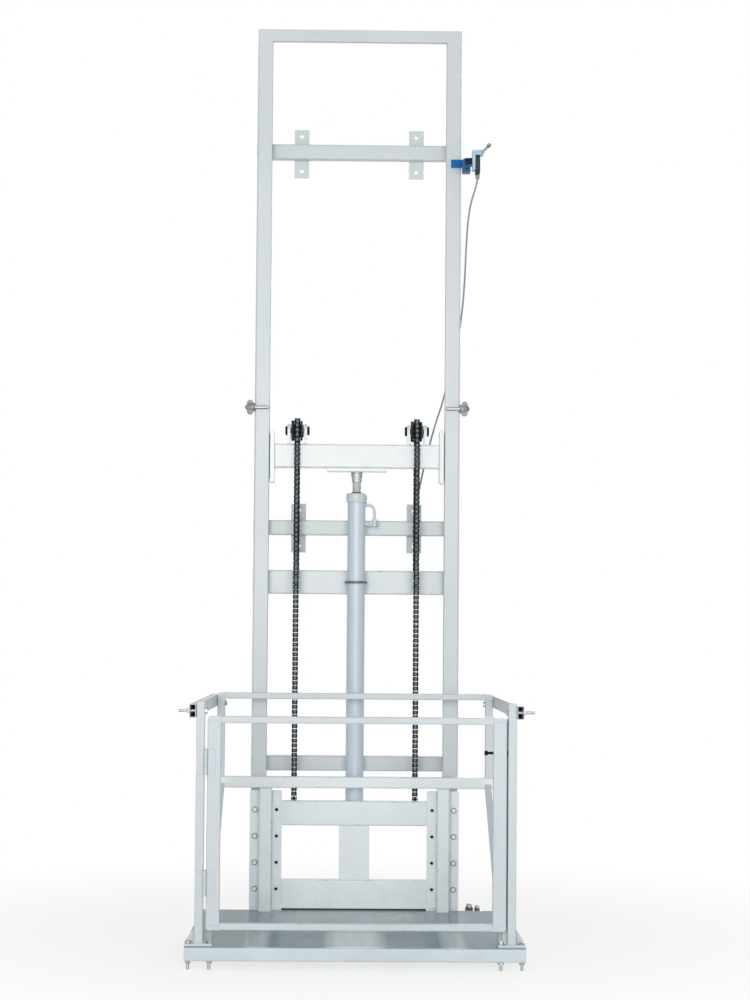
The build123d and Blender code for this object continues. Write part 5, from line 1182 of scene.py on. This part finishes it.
shape = tube(new_shape(), LEG, LEG_DEPTH, (LEG_FOOT, GUARD[0]), THIN_WALL, "Z", THIN_BEND)
corner_foot = GUARD[0] - CORNER_LAP
corner = [(corner_foot, LEG[0], CORNER_EDGE), (GUARD[1], LEG[0], CORNER_EDGE),
          (GUARD[1], LEG[1], CORNER_BEND), (corner_foot, LEG[1], CORNER_EDGE)]
twin(draw_out(shape, filleted(corner), "Y", *LEG_DEPTH, CORNER_EASE))
tube(shape, about(0, LEG[0]), GUARD_DEPTH, GUARD, THIN_WALL, "X", THIN_BEND)
piece("back_guard", shape, frame_paint, "platform")


# Platform. A rim of square tube with three bearers, and a 3 mm steel sheet welded on top in a smooth
# grey-blue coating, glossy, with a painted reflection of the carriage in paler patches. A kick strip closes
# the slot under the carriage, and a black rubber strip below it is painted shade for the dark slot.
RIM, RIM_WALL, RIM_BEND = 40.0, 3.0, 4.0
PLATFORM_HALF, PLATFORM_FRONT, PLATFORM_BACK = 500.0, -909.342, -109.342
RIM_SPAN, SHEET = (27.0, 67.0), (67.0, 70.0)
BEARERS = (-250.0, 0.0, 250.0)
RIM_END, RIM_END_INSET = (496.5, 499.4), 3.1
PLATE, KICK_PAD_TOP = (238.0, 343.0), 81.0
KICK_STRIP = ((-237.0, 237.0), (-112.5, -109.4), (75.0, 91.0))
SLOT_SHADE_STRIP = ((-237.5, 237.5), (-113.5, -109.6), (70.0, 75.5))
FLOOR_GREY, FLOOR_GREY_DEEP = (0.155, 0.258, 0.302), (0.112, 0.203, 0.244)
# Pale colours of the painted reflection of the carriage in the floor:
FLOOR_PAINTED_REFLECTION, FLOOR_REFLECTION_TRACK = (0.68, 0.735, 0.755), (0.90, 0.95, 0.965)
FLOOR_SCRAPED, FLOOR_DUST = (0.30, 0.35, 0.365), (0.36, 0.37, 0.355)
SIDE_REFLECTION_X = 0.2905


def floor_coating():
    """Self-levelling enamel: glossy, a little wavy, with drag marks from loads and trodden dust.
    It is painted paler along the middle of its back half and in three streaky tracks behind the gate,
    in line with the carriage's middle and its uprights: a painted reflection of the carriage."""
    coat = Finish("floor_enamel", "floor_paint")
    film, wave = coat.noise(3.0, 3.0), coat.noise(14.0, 2.0)
    drag = coat.noise(60.0, 4.0, (3.0, 0.10, 1), 0.6).over(0.64, 0.74)
    dust = coat.noise(22.0, 6.0).over(0.50, 0.78)
    across, streak = coat.along("X"), coat.noise(50.0, 5.0, (3.0, 0.06, 1), 0.6)
    # The paler zone down the middle and the three tracks are a painted reflection of the carriage and its
    # uprights.
    path = coat.along("Y").over(-0.72, -0.26) * (1 - (across * across).over(0.02, 0.16))
    lightened = (path + (streak - 0.5) * 0.6).over(0.12, 1.0)
    off_side_reflection = coat.math("ABSOLUTE", across) - SIDE_REFLECTION_X
    middle_reflection = (1 - (across * across).over(0.0020, 0.0095)) * 0.95
    reflection_tracks = middle_reflection + (1 - (off_side_reflection * off_side_reflection).over(0.0001, 0.0018)) * 0.55
    reflection_tracks = reflection_tracks * (1 - coat.along("Y").over(-0.66, -0.50)) * (0.55 + streak * 0.6)
    tone = coat.layers(FLOOR_GREY, (film.over(0.3, 0.7), FLOOR_GREY_DEEP), (lightened * 0.62, FLOOR_PAINTED_REFLECTION),
                       (reflection_tracks, FLOOR_REFLECTION_TRACK), (drag * 0.20, FLOOR_SCRAPED), (dust * 0.14, FLOOR_DUST),
                       (coat.edge() * 0.6, FRAME_GREY))
    rough = 0.14 + dust * 0.16 + drag * 0.18
    return coat.surface(tone, rough, wave, 0.0006, 0.10, Specular_IOR_Level=0.025)


rim_paint = powder_coat("rim_powder_coat", (0.598, 0.686, 0.734), (0.552, 0.638, 0.686))
inner_span = (PLATFORM_FRONT + RIM, PLATFORM_BACK - RIM)
rim_depths = ((PLATFORM_FRONT, inner_span[0]), (inner_span[1], PLATFORM_BACK))
shape = new_shape()
for depth in rim_depths:
    tube(shape, about(0, PLATFORM_HALF), depth, RIM_SPAN, RIM_WALL, "X", RIM_BEND)
for middle in (RIM / 2 - PLATFORM_HALF, *BEARERS, PLATFORM_HALF - RIM / 2):
    tube(shape, about(middle, RIM / 2), inner_span, RIM_SPAN, RIM_WALL, "Y", RIM_BEND)
for side in SIDES:
    for depth in rim_depths:
        cap = [side * x for x in RIM_END], grown(depth, -RIM_END_INSET), grown(RIM_SPAN, -RIM_END_INSET)
        bar(shape, *cap, "X", 1.0, 0.3)
piece("platform_frame", shape, rim_paint, "platform")
shape = boxed(new_shape(), about(0, PLATFORM_HALF), (PLATFORM_FRONT, PLATFORM_BACK), SHEET, 0.9)
piece("floor_sheet", shape, floor_coating(), "platform")
shape = boxed(new_shape(), grown(PLATE, -1), (PLATE_FRONT, PLATFORM_BACK), (SHEET[1], KICK_PAD_TOP), 0.8)
piece("kick_strip", boxed(twin(shape), *KICK_STRIP, 0.8), carriage_paint_lit, "platform")
# The black rubber strip below the kick strip is painted shade: it stands where the slot under the carriage is
# dark.
piece("kick_lip", boxed(new_shape(), *SLOT_SHADE_STRIP, 0.4), black_rubber, "platform")


# Side stays. Square tubes from the ends of the middle rail down to the floor,
# cut to fit at both ends, welded and coated with the frame.
eased_node("side_stays", 1.4, frame_paint, "platform")


# Front posts. Square tubes welded on bolted feet with a small gusset outside, the right one drilled for the
# latch; zinc bolts go down through foot, floor and rim, with their nuts and tips below.
FRONT_POST, FRONT_POST_DEPTH, FRONT_POST_SPAN = (446.5, 471.5), (-896.842, -871.842), (77.0, 782.0)
FRONT_Y_MIDDLE = -884.342
FOOT, FOOT_DEPTH, FOOT_SPAN = (418.0, 500.0), (-907.342, -861.342), (70.0, 77.0)
GUSSET_DEPTH, GUSSET_RISE, GUSSET_REACH = (-874.842, -871.842), 42.0, 27.0
FOOT_BOLTS = (428.0, 490.0)
LATCH_Z, LATCH_HOLE = 636.0, 13.0
POST_DRILL = (440, 460)
M10, M10_PITCH, M10_FLATS, M10_HEAD = 10, 1.5, 16, 6


def pierced(made, span, diameter):
    """Drills the latch's hole through a piece."""
    start, end = ((x, FRONT_Y_MIDDLE, LATCH_Z) for x in span)
    drill = solid("drill", round_bar(new_shape(), start, end, diameter, 28, 0.1))
    hole = made.modifiers.new("hole", "BOOLEAN")
    hole.object, hole.operation, hole.solver, hole.use_self = drill, "DIFFERENCE", "EXACT", True
    settle(made)
    bpy.data.objects.remove(drill)
    return sharpen(made)


# The gate coat is a darker, bluer copy of the frame coat, used on the gate, posts, side bars, stop and
# hinges: its extra darkness is painted shade.
gate_paint_shaded = powder_coat("gate_powder_coat", (0.588, 0.645, 0.678), (0.541, 0.600, 0.634))
shape = tube(new_shape(), FRONT_POST, FRONT_POST_DEPTH, FRONT_POST_SPAN, THIN_WALL, "Z", THIN_BEND)
boxed(shape, FOOT, FOOT_DEPTH, FOOT_SPAN, 1.0)
gusset = [(0, GUSSET_REACH), (4, GUSSET_REACH), (GUSSET_RISE, 2), (GUSSET_RISE, -1), (0, -1)]
gusset = [(FOOT_SPAN[1] + rise, FRONT_POST[1] + reach) for rise, reach in gusset]
draw_out(shape, gusset, "Y", *GUSSET_DEPTH, 0.5)
pierced(piece("front_posts", twin(shape), gate_paint_shaded, "platform"), POST_DRILL, LATCH_HOLE)
foot_heads = on_both(UP, *((x, FRONT_Y_MIDDLE, FOOT_SPAN[1]) for x in FOOT_BOLTS))
foot_nuts = on_both((0, 0, -1), *((x, FRONT_Y_MIDDLE, RIM_SPAN[0]) for x in FOOT_BOLTS))
fasten("foot_bolts", foot_heads, M10_FLATS, M10_HEAD, zinc, "platform", washer=19, thick=0.4)
fasten("foot_nuts", foot_nuts, M10_FLATS, 8, zinc, "platform", washer=20, thick=1.4, seed=8)
shape = new_shape()
for (x, y, z), way in foot_nuts:
    threaded(shape, (x, y, z - 6), (x, y, 0), M10, M10_PITCH)
piece("foot_bolt_tips", shape, zinc, "platform")


# Side bars. Twin-cell tubes along both sides, from the back legs out to the front posts, bolted through
# both with long zinc bolts whose threaded tips stand out past the nuts.
SIDE_CORNER, SIDE_END = Vector((471.5, -871.842, 755.0)), Vector((451.5, -124.842, 755.0))
SIDE_WIDTH, SIDE_HALF, SIDE_LAP, SIDE_BEND = 20.0, 20.0, 34.0, 2.6
WEB_INSET, WEB_END, WEB_HALF = 1.9, 0.4, 1.0
SIDE_BOLTS = ((-137.342, 746.0, 426.5, 472.1), (-884.342, 755.0, 446.5, 492.1))
SIDE_TAIL = 34.0
run = SIDE_END - SIDE_CORNER
splay = Matrix.Rotation(math.atan2(-run.x, run.y), 4, "Z")
side_span = (-SIDE_LAP, run.length)
shape = tube(new_shape(), (0, SIDE_WIDTH), side_span, about(0, SIDE_HALF), THIN_WALL, "Y", SIDE_BEND)
boxed(shape, grown((0, SIDE_WIDTH), -WEB_INSET), grown(side_span, -WEB_END), about(0, WEB_HALF), 0.2)
bmesh.ops.transform(shape, matrix=Matrix.Translation(SIDE_CORNER * MM) @ splay, verts=shape.verts)
piece("side_bars", twin(shape), gate_paint_shaded, "platform")
# A paler copy of the zinc for the side bolts and nuts: its extra lightness is painted light against the shade
# in the thread grooves.
pale_zinc = zinc_plate("pale_zinc", 0.68)
inner_heads, outer_nuts = [], []
shape = new_shape()
for y, z, head_x, seat_x in SIDE_BOLTS:
    round_bar(shape, (head_x - 1, y, z), (seat_x, y, z), M10, 16)
    threaded(shape, (seat_x - 1, y, z), (seat_x + SIDE_TAIL, y, z), M10, M10_PITCH)
    inner_heads += [((side * head_x, y, z), (-side, 0, 0)) for side in SIDES]
    outer_nuts += [((side * seat_x, y, z), (side, 0, 0)) for side in SIDES]
piece("side_bar_bolts", twin(shape), pale_zinc, "platform")
fasten("side_bolt_heads", inner_heads, M10_FLATS, M10_HEAD, zinc, "platform", thick=0.4, seed=9)
fasten("side_bolt_nuts", outer_nuts, M10_FLATS, 7.5, pale_zinc, "platform", washer=19, seed=10)


# Gate. Two rectangular stiles with rounded outer corners and two square rails, welded into a frame
# and coated like the posts, the right stile drilled for the latch.
STILES = ((-438.5, -398.5), (402.5, 442.5))
GATE_DEPTH, GATE_SPAN = (-896.842, -871.842), (115.0, 739.2)
GATE_RAILS = ((719.2, 739.2), (115.0, 135.0))
GATE_CORNER, GATE_EDGE, STILE_DRILL = 14.0, 0.6, (395, 450)
corner_ends = grown(GATE_SPAN, -GATE_CORNER)
shape = new_shape()
for (left, right), outer in zip(STILES, ((CORNER_BEND, GATE_EDGE), (GATE_EDGE, CORNER_BEND))):
    tube(shape, (left, right), GATE_DEPTH, corner_ends, THIN_WALL, "Z", THIN_BEND)
    square = (GATE_EDGE, GATE_EDGE)
    for low, high, bottom, top in ((GATE_SPAN[0], corner_ends[0], outer, square),
                                   (corner_ends[1], GATE_SPAN[1], square, outer)):
        corner = [(low, left, bottom[0]), (high, left, top[0]),
                  (high, right, top[1]), (low, right, bottom[1])]
        draw_out(shape, filleted(corner), "Y", *GATE_DEPTH, CORNER_EASE)
pierced(piece("gate_stiles", shape, gate_paint_shaded, "gate"), STILE_DRILL, LATCH_HOLE)
shape = new_shape()
for rail in GATE_RAILS:
    tube(shape, (STILES[0][1], STILES[1][0]), GATE_DEPTH, rail, THIN_WALL, "X", THIN_BEND)
piece("gate_rails", shape, gate_paint_shaded, "gate")


# Gate stop. A flat 3 mm strip welded up the back of the right post and coated with it,
# that the gate's free stile closes against.
STOP_STRIP = ((434.0, 468.0), (-871.5, -868.5), (80.0, 736.0))
piece("gate_stop", boxed(new_shape(), *STOP_STRIP, 0.8), gate_paint_shaded, "platform")


# Hinges. Two butt hinges at the left, painted with the gate: a leaf with two knuckles on the post, a leaf
# with one on the gate, a plated pin through them, and three screws in each leaf.
HINGE_X, HINGE_Y = -442.5, -903.342
HINGE_MIDDLES, HINGE_HALF = (252.0, 605.0), 37.5
KNUCKLE, KNUCKLE_BACK = 12.0, -897.342
POST_KNUCKLES, GATE_KNUCKLES = ((-37.5, -12.9), (12.9, 37.5)), ((-12.5, 12.5),)
LEAF_DEPTH, LEAF_GAP, LEAF_WIDTH = (-899.342, -896.842), 6.4, 22.0
LEAF_SCREWS, SCREW_INSET = (-26, 0, 26), 13.0


def hinge_leaf(shape, middle, side, knuckles):
    near = HINGE_X + side * LEAF_GAP
    boxed(shape, (near, near + side * LEAF_WIDTH), LEAF_DEPTH, about(middle, HINGE_HALF), 0.7)
    for low, high in knuckles:
        span = (middle + low, middle + high)
        round_bar(shape, *((HINGE_X, HINGE_Y, z) for z in span), KNUCKLE, 28, 0.5)
        boxed(shape, (HINGE_X, near), (LEAF_DEPTH[0], KNUCKLE_BACK), span, 0.3)


for part, body, side, knuckles in (("post", "platform", -1, POST_KNUCKLES),
                                   ("gate", "gate", 1, GATE_KNUCKLES)):
    shape, screws = new_shape(), []
    screw_x = HINGE_X + side * (LEAF_GAP + SCREW_INSET)
    for middle in HINGE_MIDDLES:
        hinge_leaf(shape, middle, side, knuckles)
        screws += [((screw_x, LEAF_DEPTH[0], middle + step), FRONT) for step in LEAF_SCREWS]
    piece(f"hinge_{part}_leaves", shape, gate_paint_shaded, body)
    fasten(f"hinge_{part}_screws", screws, 8.4, 1.6, gate_paint_shaded, body, sides=20, thick=0.2, seed=11)
shape = new_shape()
for middle in HINGE_MIDDLES:
    low, high = about(middle, HINGE_HALF)
    profile = [(2.6, low), (3, low + 0.4), (3, high), (3.6, high), (4, high + 0.5), (3.4, high + 1.7),
               (2, high + 2)]
    lathe(shape, profile, (HINGE_X, HINGE_Y, 0), steps=24)
piece("hinge_pins", shape, zinc, "platform")


# Latch. A black round bolt through the right stile into the post, with a knob to draw it back
# against its spring.
LATCH_BOLT, LATCH_NECK, LATCH_TIP, KNOB_START, KNOB = 12.0, 8.0, 460.5, 376.5, 14.0
knob, neck, bolt = KNOB / 2, LATCH_NECK / 2, LATCH_BOLT / 2
length = LATCH_TIP - KNOB_START
profile = [(knob - 3, 0), (knob - 0.8, 1), (knob, 3), (knob, 8), (knob - 1, 9.4), (neck + 0.4, 10.4),
           (neck, 11.4), (neck, 25), (bolt - 0.6, 25), (bolt, 25.6), (bolt, length - 3), (bolt - 1.6, length)]
shape = lathe(new_shape(), profile, (KNOB_START, FRONT_Y_MIDDLE, LATCH_Z), RIGHT, 28, marked=(1, 4, 10))
piece("latch_bolt", shape, black_steel, "latch")


# Limit switch. A bright blue angle bracket on the right rail, a navy block and a steel-blue one on its arm,
# a pale sheet plate, a dark moulded switch with its cast head, and a lever with a roller that the platform
# lifts; screwed together and painted by the piece.
SWITCH_FRONT, SWITCH_BLOCK_BACK, SWITCH_BODY_BACK = -117.842, -79.842, -83.842
BLOCK_FRONT, COVER_FRONT = SWITCH_FRONT - 0.6, SWITCH_FRONT - 1.2
BRACKET_BOLTS = ((321, -31, 2557), (338, -31, 2557))
NAVY_BLOCK, STEEL_BLOCK = ((351.0, 376.0), (2536.5, 2559.5)), ((343.0, 370.0), (2511.0, 2536.5))
BLOCK_SCREWS = ((363, 2548), (357, 2523))
SWITCH_PLATE = ((376.0, 386.0), (2520.0, 2587.0))
SWITCH_BODY, SWITCH_COVER = ((386.0, 402.0), (2508.0, 2570.1)), ((388, 400), (2512, 2566))
SWITCH_HEAD = ((386.0, 415.0), (2570.5, 2587.0))
COVER_SCREWS = ((394, 2516.5), (394, 2561.5))
LEVER_BOSS, ROLLER_SPOT = (409.0, SWITCH_FRONT + 0.6, 2578.75), (430.5, -123.842, 2600.0)
BOSS_PROFILE = [(6.2, 0), (6.6, 0.4), (6.6, 1.0), (6.0, 1.4)]
ROLLER_PROFILE = [(2.1, 0), (4.2, 0), (5.6, 0), (6.5, 0.8), (6.5, 7.2), (5.6, 8), (4.2, 8), (2.1, 8)]


def gloss_paint(name, colour, deep, slot="switch_coating"):
    """Brushed gloss paint: a thick wavy film with darker hollows and rubbed edges."""
    coat = Finish(name, slot)
    film, wave = coat.noise(24.0, 3.0), coat.noise(190.0, 2.0)
    rubbed = coat.edge() * coat.noise(90.0, 4.0).over(0.5, 0.66)
    tone = coat.layers(colour, (film.over(0.3, 0.7), deep), (rubbed * 0.25, (0.45, 0.47, 0.50)))
    return coat.surface(tone, 0.26 + film * 0.14, wave, 0.0003, 0.3, Specular_IOR_Level=0.12)


def sheet_plate():
    """Pale blue coated sheet with straight rolling lines and dull finger marks."""
    metal = Finish("pale_sheet", "pale_plate")
    rolled, touch = metal.noise(240.0, 3.0, (1, 1, 0.05)), metal.noise(40.0, 4.0)
    tone = metal.layers((0.30, 0.50, 0.64), (rolled, (0.36, 0.57, 0.71)),
                        (touch.over(0.5, 0.7) * 0.3, (0.22, 0.36, 0.45)))
    return metal.surface(tone, 0.34 + touch * 0.16, rolled, 0.0001, 0.3, Metallic=0.2)


def roller_nylon():
    """A pale nylon wheel with a dark tyre, rubbed in rings by what it has rolled on."""
    skin = Finish("roller_nylon", "roller_plastic")
    rub = skin.noise(500.0, 3.0)
    tone = skin.layers((0.42, 0.43, 0.44), (rub, (0.52, 0.53, 0.54)), (skin.edge(), (0.020, 0.021, 0.022)))
    return skin.surface(tone, 0.40 + rub * 0.2, rub, 0.0001, 0.3, Specular_IOR_Level=0.3)


def in_front(y, places):
    return [((x, y, z), FRONT) for x, z in places]


blue_paint = gloss_paint("bright_blue_paint", (0.008, 0.165, 0.460), (0.008, 0.130, 0.380), "blue_paint")
navy_paint = gloss_paint("navy_paint", (0.002, 0.012, 0.045), (0.002, 0.009, 0.034))
steel_blue = gloss_paint("steel_blue_paint", (0.030, 0.122, 0.223), (0.022, 0.095, 0.180))
switch_case = moulded("switch_case", (0.006, 0.026, 0.036), (0.010, 0.038, 0.050), 0.42)
pale_sheet = sheet_plate()
eased_node("switch_bracket", 0.8, blue_paint, "mast")
bracket_bolts = [(place, FRONT) for place in BRACKET_BOLTS]
fasten("bracket_bolts", bracket_bolts, 8, 2.6, blue_paint, "mast", washer=11, thick=0.8, seed=12)
for name, (x, z), finish in (("upper", NAVY_BLOCK, navy_paint), ("lower", STEEL_BLOCK, steel_blue)):
    shape = boxed(new_shape(), x, (BLOCK_FRONT, SWITCH_BLOCK_BACK), z, 1.6)
    piece(f"switch_block_{name}", shape, finish, "mast", "switch_blocks")
fasten("block_screws", in_front(BLOCK_FRONT, BLOCK_SCREWS), 6, 1.6, navy_paint, "mast", sides=20, seed=13)
shape = boxed(new_shape(), SWITCH_PLATE[0], (SWITCH_FRONT, SWITCH_BLOCK_BACK), SWITCH_PLATE[1], 0.8)
piece("switch_plate", shape, pale_sheet, "mast")
case_depth = (SWITCH_FRONT, SWITCH_BODY_BACK)
shape = bar(new_shape(), SWITCH_BODY[0], case_depth, SWITCH_BODY[1], "Y", 3.0, 1.0)
boxed(shape, SWITCH_COVER[0], (COVER_FRONT, SWITCH_FRONT + 1), SWITCH_COVER[1], 0.8)
piece("switch_body", shape, switch_case, "mast")
shape = bar(new_shape(), SWITCH_HEAD[0], case_depth, SWITCH_HEAD[1], "Y", 3.5, 1.2)
piece("switch_head", lathe(shape, BOSS_PROFILE, LEVER_BOSS, FRONT, 28), pale_sheet, "mast", "switch_body")
cover_screws = in_front(COVER_FRONT, COVER_SCREWS)
fasten("switch_cover_screws", cover_screws, 4.6, 1.2, black_steel, "mast", sides=20, thick=0.2, seed=14)
eased_node("switch_lever", 0.5, zinc_plate("lever_steel", 0.20), "switch_lever")
shape = lathe(new_shape(), ROLLER_PROFILE, ROLLER_SPOT, FRONT, 32, True, (1, 2, 3, 4, 5))
piece("switch_roller", shape, roller_nylon(), "switch_roller")


# Switch cable. 1.17 m of 6 mm pale sheathed cable from the gland under the switch, hanging behind the right
# rail, into a rubber grommet on the middle crossbar.
CABLE, CABLE_LENGTH = 6.0, 1.172
CABLE_ROUTE = [
    (394, -100.842, 2492), (390, -100.842, 2466), (380, -97, 2438), (371.5, -88, 2404), (366, -75, 2366),
    (363, -57, 2322), (361, -35, 2270), (360, -11, 2208), (358, 12, 2141), (353, 33, 2068), (343, 45, 1992),
    (326, 50, 1915), (308, 52, 1837), (290, 52, 1760), (265, 50, 1684), (245, 49, 1610), (227.4, 47, 1538),
    (213.4, 46, 1472), (203.6, 45, 1424), (200, 45, 1386), (207, 45, 1362)]
CABLE_GLAND = [(3.3, 2490), (5.2, 2491), (6.4, 2494), (6.8, 2497), (6.8, 2502), (7.6, 2502.4), (7.6, 2508)]
CABLE_GROMMET = [(8, 1353), (8, 1356), (7, 1357.5), (5.4, 1358), (5.4, 1361), (4.4, 1363.5), (3.2, 1364)]


def cable_sheath():
    """Smooth pale sheath, slightly dulled and handled, with the lay of the cores just showing."""
    skin = Finish("cable_sheath", "cable_sheath")
    lay, soil = skin.noise(40.0, 2.0, (1, 1, 0.4)), skin.noise(26.0, 5.0)
    tone = skin.layers((0.25, 0.26, 0.265), (lay, (0.31, 0.32, 0.325)),
                       (soil.over(0.5, 0.75) * 0.35, (0.16, 0.158, 0.15)))
    return skin.surface(tone, 0.40 + soil * 0.18, lay, 0.0004, 0.25)


sheath = cable_sheath()
curve = bpy.data.curves.new("switch_cable", "CURVE")
curve.dimensions = "3D"
line = curve.splines.new("NURBS")
line.points.add(len(CABLE_ROUTE) - 1)
for point, place in zip(line.points, CABLE_ROUTE):
    point.co = (*(Vector(place) * MM), 1)
line.order_u = 3
line.use_endpoint_u = True
line.resolution_u = 8
curve.bevel_depth = CABLE / 2 * MM
curve.bevel_resolution = 4
curve.use_fill_caps = True
curve.materials.append(sheath.material)
cable = hand_over(show("switch_cable", curve), "switch_cable", "mast", [])
start, end = ((*CABLE_ROUTE[number][:2], 0) for number in (0, -1))
turned("cable_gland", CABLE_GLAND, sheath, "mast", "cable_fittings", origin=start, steps=24)
turned("cable_grommet", CABLE_GROMMET, black_rubber, "mast", "cable_fittings", origin=end, steps=28)


# Welds. Rippled fillet beads round every joint of the tubes and plates, laid along lines and rings
# at the joints and painted over with the frame.
BEAD, THIN_BEAD, CARRIAGE_BEAD = 2.4, 1.7, 2.2
BEAD_STEP, BEAD_RIPPLE, RIPPLE_DEPTH = 0.0024, 0.0062, 0.10
RING_STEPS = 24
RAIL_DEPTH = (-RAIL_BACK, RAIL_BACK)
FOOT_FLANGE, BARREL, BARREL_LOW = 76.0, 60.0, 40.0
PLATE_WELD = (170.0, 220.0)
EAR_OFFSETS, EAR_HALF, EAR_DEPTH = (-28.0, 28.0), 5.0, (-41.0, -2.4)
SOCKET_RADIUS = 19.0
STITCHES, STITCH = (90, 205, 320, 420), 36
GUSSET_Y, GUSSET_UP, GUSSET_OUT = -873.3, (80, 118), (473, 498)

bead_tree, beads, bead = tree_inputs("weld_beads", {
    "Geometry": "Geometry", "Bead radius": "Float", "Step": "Float", "Ripple": "Float",
    "Ripple depth": "Float", "Material": "Material"})
path = beads.add("GeometryNodeMeshToCurve", {"Mesh": bead["Geometry"]})
path = beads.add("GeometryNodeResampleCurve", {"Curve": path, "Length": bead["Step"]}, {"mode": "LENGTH"})
travelled = beads.add("GeometryNodeSplineParameter", out="Length")
ripple = beads.math("SINE", travelled * (2 * math.pi) / bead["Ripple"])
uneven = beads.add("ShaderNodeTexNoise", {"Scale": 60.0, "Detail": 2.0})
swell = 0.82 + ripple * bead["Ripple depth"] + uneven * 0.36
profile = beads.add("GeometryNodeCurvePrimitiveCircle", {"Resolution": 7, "Radius": bead["Bead radius"]})
run_bead = beads.add("GeometryNodeCurveToMesh", {
    "Curve": path, "Profile Curve": profile, "Scale": swell, "Fill Caps": True})
run_bead = beads.add("GeometryNodeSetShadeSmooth", {"Geometry": run_bead})
close_tree(beads, run_bead, bead["Material"])


def ring_round(axis, at, a, b):
    """A closed rectangle of weld, square to an axis."""
    a, b = sorted(a), sorted(b)
    corners = [(a[0], b[0]), (a[1], b[0]), (a[1], b[1]), (a[0], b[1]), (a[0], b[0])]
    return [in_space(axis, *corner, at) for corner in corners]


def both_sides(lines):
    return lines + [[Vector((-point.x, point.y, point.z)) for point in line] for line in lines]


def round_ram(radius, z):
    """A closed circle of weld round the ram."""
    points = circle(RING_STEPS)
    return [Vector((radius * c, RAM_Y + radius * s, z)) * MM for c, s in points + points[:1]]


def seam(x, y, z):
    """A straight weld along the one of its three places that is given as a span."""
    ends = zip(*(place if isinstance(place, tuple) else (place, place) for place in (x, y, z)))
    return [Vector(end) * MM for end in ends]


def weld(name, lines, radius, body):
    verts, edges = [], []
    for line in lines:
        start = len(verts)
        verts += line
        edges += [(start + number, start + number + 1) for number in range(len(line) - 1)]
    made = grow(name, verts, edges, bead_tree, {
        "Bead radius": radius * MM, "Step": BEAD_STEP, "Ripple": BEAD_RIPPLE, "Ripple depth": RIPPLE_DEPTH,
        "Material": frame_paint.material})
    return hand_over(made, name, body, [])


rail_span = (RAIL_MOUTH, RAIL_OUTER)
bar_spans = [about(middle, CROSSBAR_HALF) for middle in CROSSBAR_MIDDLES] + [CYLINDER_BEAM]
mast_welds = [ring_round("Z", BASE_TOP, rail_span, RAIL_DEPTH),
              seam(grown(rail_span, -4), RAIL_BACK, RAIL_TOP),
              ring_round("Y", RAIL_BACK, LUG, about(CHAIN_X, LUG_HALF))]
mast_welds += [ring_round("Y", RAIL_BACK, span, rail_span) for span in bar_spans]
mast_welds += [seam(PLATE_WELD, BAR_BACK, z) for span in bar_spans[:2] for z in span]
ram_welds = [round_ram(FOOT_FLANGE / 2, BASE_TOP), round_ram(BARREL / 2, BARREL_LOW)]
weld("mast_welds", both_sides(mast_welds) + ram_welds, BEAD, "mast")
yoke_welds = [ring_round("X", YOKE_HALF, YOKE_DEPTH, YOKE)]
yoke_welds += [ring_round("Z", YOKE[1], about(CHAIN_X + offset, EAR_HALF), EAR_DEPTH)
               for offset in EAR_OFFSETS]
thrust_welds = [seam(about(0, THRUST_HALF), y, YOKE[0]) for y in YOKE_DEPTH]
thrust_welds.append(round_ram(SOCKET_RADIUS, THRUST[0]))
weld("yoke_welds", both_sides(yoke_welds) + thrust_welds, BEAD, "yoke")
carriage_back = CARRIAGE_DEPTH[1]
carriage_welds = [ring_round("X", UPRIGHT[0], CARRIAGE_DEPTH, beam) for beam in CARRIAGE_BEAMS]
carriage_welds += [seam(x, carriage_back, CARRIAGE) for x in CHEEK]
carriage_welds += [seam(x, carriage_back, (FRONT_LUG[0], CARRIAGE[1])) for x in tongue_span]
carriage_welds += [ring_round("Z", z, POST, POST_DEPTH) for z in POST_SPAN]
carriage_welds += [seam(x, PLATE_FRONT, (start, start + STITCH)) for start in STITCHES for x in POST]
carriage_welds += [ring_round("Y", y, RIM_SPAN, (PLATFORM_HALF - RIM, PLATFORM_HALF)) for y in inner_span]
centre_welds = [seam(about(0, CENTRE_HALF), CENTRE_DEPTH[1], z) for z in CENTRE]
weld("carriage_welds", both_sides(carriage_welds) + centre_welds, CARRIAGE_BEAD, "platform")
guard_welds = [ring_round("Z", LEG_FOOT, LEG, LEG_DEPTH), ring_round("X", LEG[0], GUARD_DEPTH, GUARD),
               ring_round("Z", FOOT_SPAN[1], FRONT_POST, FRONT_POST_DEPTH),
               seam(FRONT_POST[1], GUSSET_Y, GUSSET_UP), seam(GUSSET_OUT, GUSSET_Y, FOOT_SPAN[1])]
weld("guard_welds", both_sides(guard_welds), THIN_BEAD, "platform")
gate_welds = [ring_round("X", x, GATE_DEPTH, rail)
              for x in (STILES[0][1], STILES[1][0]) for rail in GATE_RAILS]
weld("gate_welds", gate_welds, THIN_BEAD, "gate")
